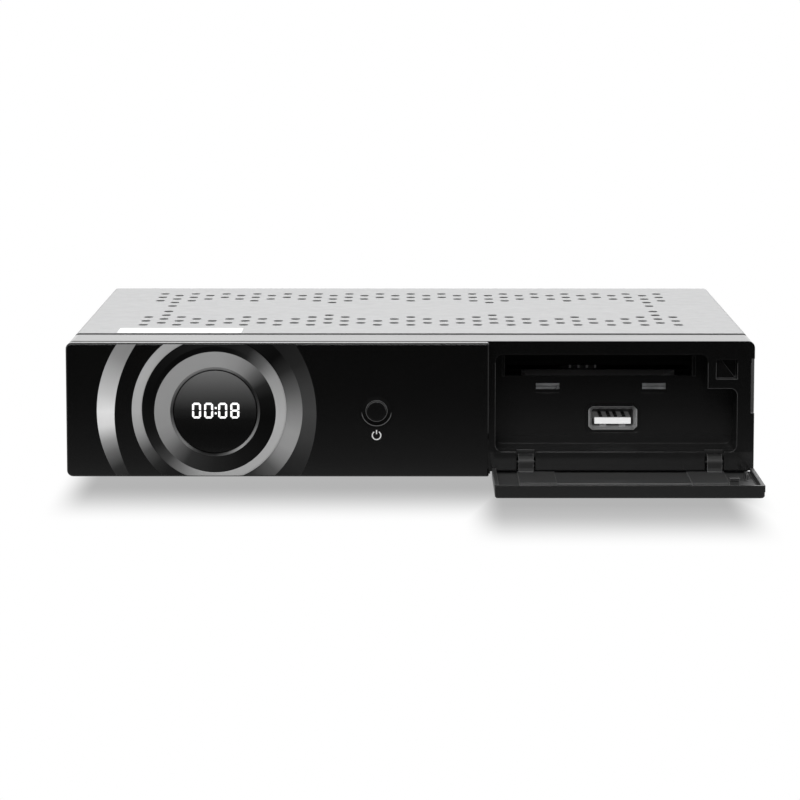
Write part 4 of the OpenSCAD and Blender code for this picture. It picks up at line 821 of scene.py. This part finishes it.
def dress_metals():
    zinc_screw = Finish("screw_zinc", (0.65, 0.66, 0.67, 1), 0.28, metallic=1.0)
    zinc_screw.mottle(1600, 0.12).uneven(1800, 0.08)
    zinc_screw.dress("board_screws", "front_board_screws")

    pin = Finish("pin_steel", (0.05, 0.05, 0.05, 1), 0.5, metallic=1.0)
    pin.mottle(2500, 0.1, (0.1, 1, 1)).uneven(2500, 0.08, (0.1, 1, 1))
    pin.dress("hinge_pins")

    bright = Finish("bright_steel", (0.72, 0.725, 0.73, 1), 0.2, metallic=1.0)
    bright.mottle(1200, 0.08).uneven(1500, 0.08).relief(2600, 0.003 * MM, edge=0.1 * MM)
    bright.dress("aerial_connectors", "aerial_nuts", "hdmi_socket", "network_socket",
                 "phono_barrels", "inlet_pins")

    shell = Finish("usb_steel", (0.85, 0.85, 0.86, 1), 0.32, metallic=0.55)
    shell.mottle(1200, 0.06).uneven(1500, 0.06).relief(2600, 0.003 * MM, edge=0.08 * MM)
    low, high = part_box("usb_shell")
    # the shell is painted in greys over its height: painted light and shade
    shell.ramp(shell.along("Z", low.z, high.z), SHELL_LIGHT_AND_SHADE)
    inside = [low.y + depth for depth in SHELL_INSIDE]
    # its inside is painted darker: painted shade
    shell.turn_to(shell.along("Y", *inside), SHELL_SHADE_GREY)
    shell.dress("usb_shell")

    contact = Finish("contact_plate", (0.01, 0.01, 0.01, 1), 0.5).mottle(2500, 0.15).sheen(0.2)
    span = [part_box("usb_contacts")[0].y + depth for depth in CONTACT_SPAN]
    contact.turn_to(contact.within("Y", *span), CONTACT_GREY)
    contact.dress("usb_contacts", "reader_contacts")

    brass = Finish("post_brass", (0.7, 0.55, 0.28, 1), 0.3, metallic=1.0)
    brass.mottle(1500, 0.1).uneven(2000, 0.08)
    brass.dress("board_posts", "usb_posts")

    dark_fins = Finish("heat_black", (0.06, 0.06, 0.065, 1), 0.4, metallic=0.8)
    dark_fins.mottle(800, 0.1, (1, 6, 1)).relief(2500, 0.005 * MM)
    dark_fins.dress("heat_sink")

    mill = Finish("heat_plain", (0.55, 0.56, 0.57, 1), 0.35, metallic=1.0)
    mill.mottle(700, 0.1, (1, 1, 5)).uneven(900, 0.1, (1, 1, 5))
    mill.dress("power_heat_sink")


# Phono inserts along X: yellow, white, red and orange
INSERT_COLOURS = [(0, (0.8, 0.62, 0.04, 1)), (0.25, (0.8, 0.8, 0.78, 1)),
                  (0.5, (0.62, 0.03, 0.02, 1)), (0.75, (0.75, 0.24, 0.02, 1))]


def dress_boards():
    mask = Finish("board_green", (0.02, 0.14, 0.07, 1), 0.3)
    mask.mottle(500, 0.2, (1, 4, 1)).relief(900, 0.006 * MM, stretch=(1, 6, 1))
    mask.dress("front_board", "usb_board", "main_board")

    laminate = Finish("board_tan", (0.42, 0.3, 0.14, 1), 0.5)
    laminate.mottle(400, 0.15).relief(1500, 0.01 * MM)
    laminate.dress("power_board")

    epoxy = Finish("chip_black", grey(28), 0.5).mottle(1500, 0.15).relief(4000, 0.01 * MM)
    epoxy.dress("processor", "memory_chips")

    switch = Finish("switch_grey", (0.3, 0.31, 0.32, 1), 0.45)
    switch.mottle(1200, 0.08).relief(2600, 0.008 * MM)
    switch.dress("switch_body")

    white = Finish("display_white", (0.75, 0.75, 0.76, 1), 0.45)
    white.mottle(600, 0.04).relief(2000, 0.008 * MM)
    white.dress("display_block")

    tongue = Finish("tongue_white", grey(249), 0.4).mottle(900, 0.02).relief(2400, 0.006 * MM)
    side = [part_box("usb_tongue")[0].y + depth for depth in TONGUE_SIDE]
    # behind its front the tongue is painted grey: painted shade on its top and sides
    tongue.turn_to(tongue.along("Y", *side), TONGUE_SHADE_GREY)
    # the tongue glows in its own colours though it is no lamp: painted light
    tongue.glow(tongue.present("Base Color"), 0.3)
    tongue.dress("usb_tongue")

    flat_cable = Finish("ribbon_grey", (0.55, 0.55, 0.52, 1), 0.5)
    flat_cable.mottle(900, 0.12, (8, 1, 1)).relief(900, 0.05 * MM, stretch=(8, 0.2, 0.2))
    flat_cable.dress("front_ribbon", "supply_ribbon")

    sleeve = Finish("sleeve_dark", (0.03, 0.04, 0.06, 1), 0.35)
    sleeve.mottle(700, 0.15).relief(2000, 0.006 * MM)
    sleeve.dress("board_capacitors", "mains_capacitor", "output_capacitors")

    tape = Finish("winding_yellow", (0.75, 0.6, 0.1, 1), 0.4).mottle(500, 0.1, (1, 1, 8))
    tape.dress("transformer")

    glass = Finish("fuse_glass", (0.75, 0.77, 0.78, 1), 0.1).mottle(900, 0.06).coat(0.4)
    glass.dress("fuse")

    insert = Finish("insert_white", (0.8, 0.8, 0.78, 1), 0.4).relief(2600, 0.006 * MM)
    low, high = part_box("phono_inserts")
    insert.ramp(insert.along("X", low.x, high.x), INSERT_COLOURS, ease="CONSTANT")
    insert.dress("phono_inserts")


# ---------------------------------------------------------------- room

ROOM_GREY = 0.46
FLOOR_COLOUR = (0.8, 0.8, 0.8, 1)
# What the camera sees of the floor near the object is a painted shadow: a lift over a part of
# its real shading. It fades to white over the spans below, which are set for the open door and
# stay as they are
FLOOR_SEEN = (0.07, 0.07, 0.07, 1)
FLOOR_LIFT = 0.45
# Spans of X and Y of the painted shadow under the case and under the door: (low, high, inner,
# outer), full to the inner distance beyond the span and gone at the outer one
SHADOW_CASE = {"X": (-0.0938, 0.0938, 0.0, 0.0122), "Y": (-0.0719, 0.1, -0.008, 0.055)}
SHADOW_DOOR = {"X": (0.0271, 0.0905, 0.0, 0.0128), "Y": (-0.113, 0.0, -0.005, 0.055)}
WHITE = (1, 1, 1, 1)
FLOOR_REACH = 4.0
# What gloss sees, from front to back, as (place, linear level): of the world round it, and of
# the floor between two places on Y, painted as a fall of light from dark in front to bright behind
WORLD_LEVELS = [(0, 0.012), (0.2, 0.02), (0.3, 0.25), (0.36, 0.9), (0.5, 1), (1, 1)]
FLOOR_SPAN = (-0.6, 0.2)
FLOOR_PAINTED_LIGHT = [(0, 0.012), (0.24, 0.026), (0.33, 0.033), (0.4, 0.049), (0.4625, 0.074),
                (0.494, 0.094), (0.526, 0.112), (0.556, 0.139), (0.5825, 0.168), (0.609, 0.223),
                (0.75, 0.5), (1, 0.95)]


def by_ray(graph, light, seen, mirrored):
    """Shader that is one thing as light, another to the camera and a third to gloss."""
    path = graph.add("ShaderNodeLightPath").outputs
    clear = graph.calculate("MAXIMUM", path["Is Camera Ray"], path["Is Transmission Ray"])
    return graph.mixed(path["Is Glossy Ray"], graph.mixed(clear, light, seen), mirrored)


def make_world():
    """White to the camera, plain grey as light; gloss sees white behind and dark in front."""
    world = bpy.data.worlds.new("room")
    bpy.context.scene.world = world
    world.use_nodes = True
    graph = Graph(world.node_tree)
    graph.tree.nodes.clear()

    def background(colour):
        node = graph.add("ShaderNodeBackground")
        graph.give(colour, node, "Color")
        return node.outputs["Background"]

    toward = graph.split(graph.add("ShaderNodeTexCoord").outputs["Generated"])
    depth = graph.scaled(toward["Y"], -1, 1)
    shown = by_ray(graph, background((ROOM_GREY, ROOM_GREY, ROOM_GREY, 1)), background(WHITE),
                   background(graph.levels(depth, WORLD_LEVELS)))
    graph.link(shown, graph.add("ShaderNodeOutputWorld"), "Surface")


def make_floor():
    """Pale floor with a painted soft shadow over a faint part of its real shading; pure white away
    from the object.
    """
    mesh = bpy.data.meshes.new("floor")
    corners = [(x * FLOOR_REACH, y * FLOOR_REACH, 0)
               for x, y in ((-1, -1), (1, -1), (1, 1), (-1, 1))]
    mesh.from_pydata(corners, [], [(0, 1, 2, 3)])
    floor = bpy.data.objects.new("floor", mesh)
    bpy.context.scene.collection.objects.link(floor)
    material = bpy.data.materials.new("floor")
    material.use_nodes = True
    material.cycles.emission_sampling = "NONE"
    graph = Graph(material.node_tree)
    graph.tree.nodes.clear()
    place = graph.split(graph.add("ShaderNodeTexCoord").outputs["Object"])

    def reach_of(axis, low, high, inner, outer):
        """1 over a span of an axis, falling softly to 0 beyond it."""
        half = (high - low) / 2
        away = graph.calculate("ABSOLUTE",
                               graph.calculate("SUBTRACT", place[axis], (low + high) / 2))
        return graph.scaled(away, half + inner, half + outer, 1, 0,
                            interpolation_type="SMOOTHSTEP")

    def shadow_of(spans):
        return graph.calculate("MULTIPLY", reach_of("X", *spans["X"]), reach_of("Y", *spans["Y"]))

    def diffuse(colour):
        node = graph.add("ShaderNodeBsdfDiffuse")
        graph.give(colour, node, "Color")
        return node.outputs["BSDF"]

    def emission(colour=WHITE, strength=1.0):
        node = graph.add("ShaderNodeEmission")
        graph.give(colour, node, "Color")
        graph.give(strength, node, "Strength")
        return node.outputs["Emission"]

    # the painted shadow's tone: a fixed lift over a small part of the real shading
    lit = graph.add("ShaderNodeAddShader")
    graph.link(diffuse(FLOOR_SEEN), lit, 0)
    graph.link(emission(strength=FLOOR_LIFT), lit, 1)
    shadow = graph.calculate("MAXIMUM", shadow_of(SHADOW_CASE), shadow_of(SHADOW_DOOR))
    seen = graph.mixed(shadow, emission(), lit.outputs["Shader"])
    mirrored = emission(graph.levels(graph.scaled(place["Y"], *FLOOR_SPAN), FLOOR_PAINTED_LIGHT))
    shown = by_ray(graph, diffuse(FLOOR_COLOUR), seen, mirrored)
    graph.link(shown, graph.add("ShaderNodeOutputMaterial"), "Surface")
    floor.data.materials.append(material)


def make_lamp(name, place, aim, size, power):
    data = bpy.data.lights.new(name, "AREA")
    data.shape = "RECTANGLE"
    data.size, data.size_y = size
    data.energy = power
    lamp = bpy.data.objects.new(name, data)
    lamp.location = place
    lamp.rotation_euler = (Vector(aim) - Vector(place)).to_track_quat("-Z", "Y").to_euler()
    bpy.context.scene.collection.objects.link(lamp)


def make_lamps():
    make_lamp("key", (0, 0.75, 0.85), (0, 0, 0.03), (0.9, 0.6), 9)
    make_lamp("front", (-0.25, -1.3, 0.8), (0, -0.05, 0.02), (0.9, 0.6), 8)


dress_display()
dress_front()
dress_case()
dress_metals()
dress_boards()
make_lens_trim()
make_digits()
make_standby_symbol()
make_label()
make_aerials()
make_world()
make_floor()
make_lamps()
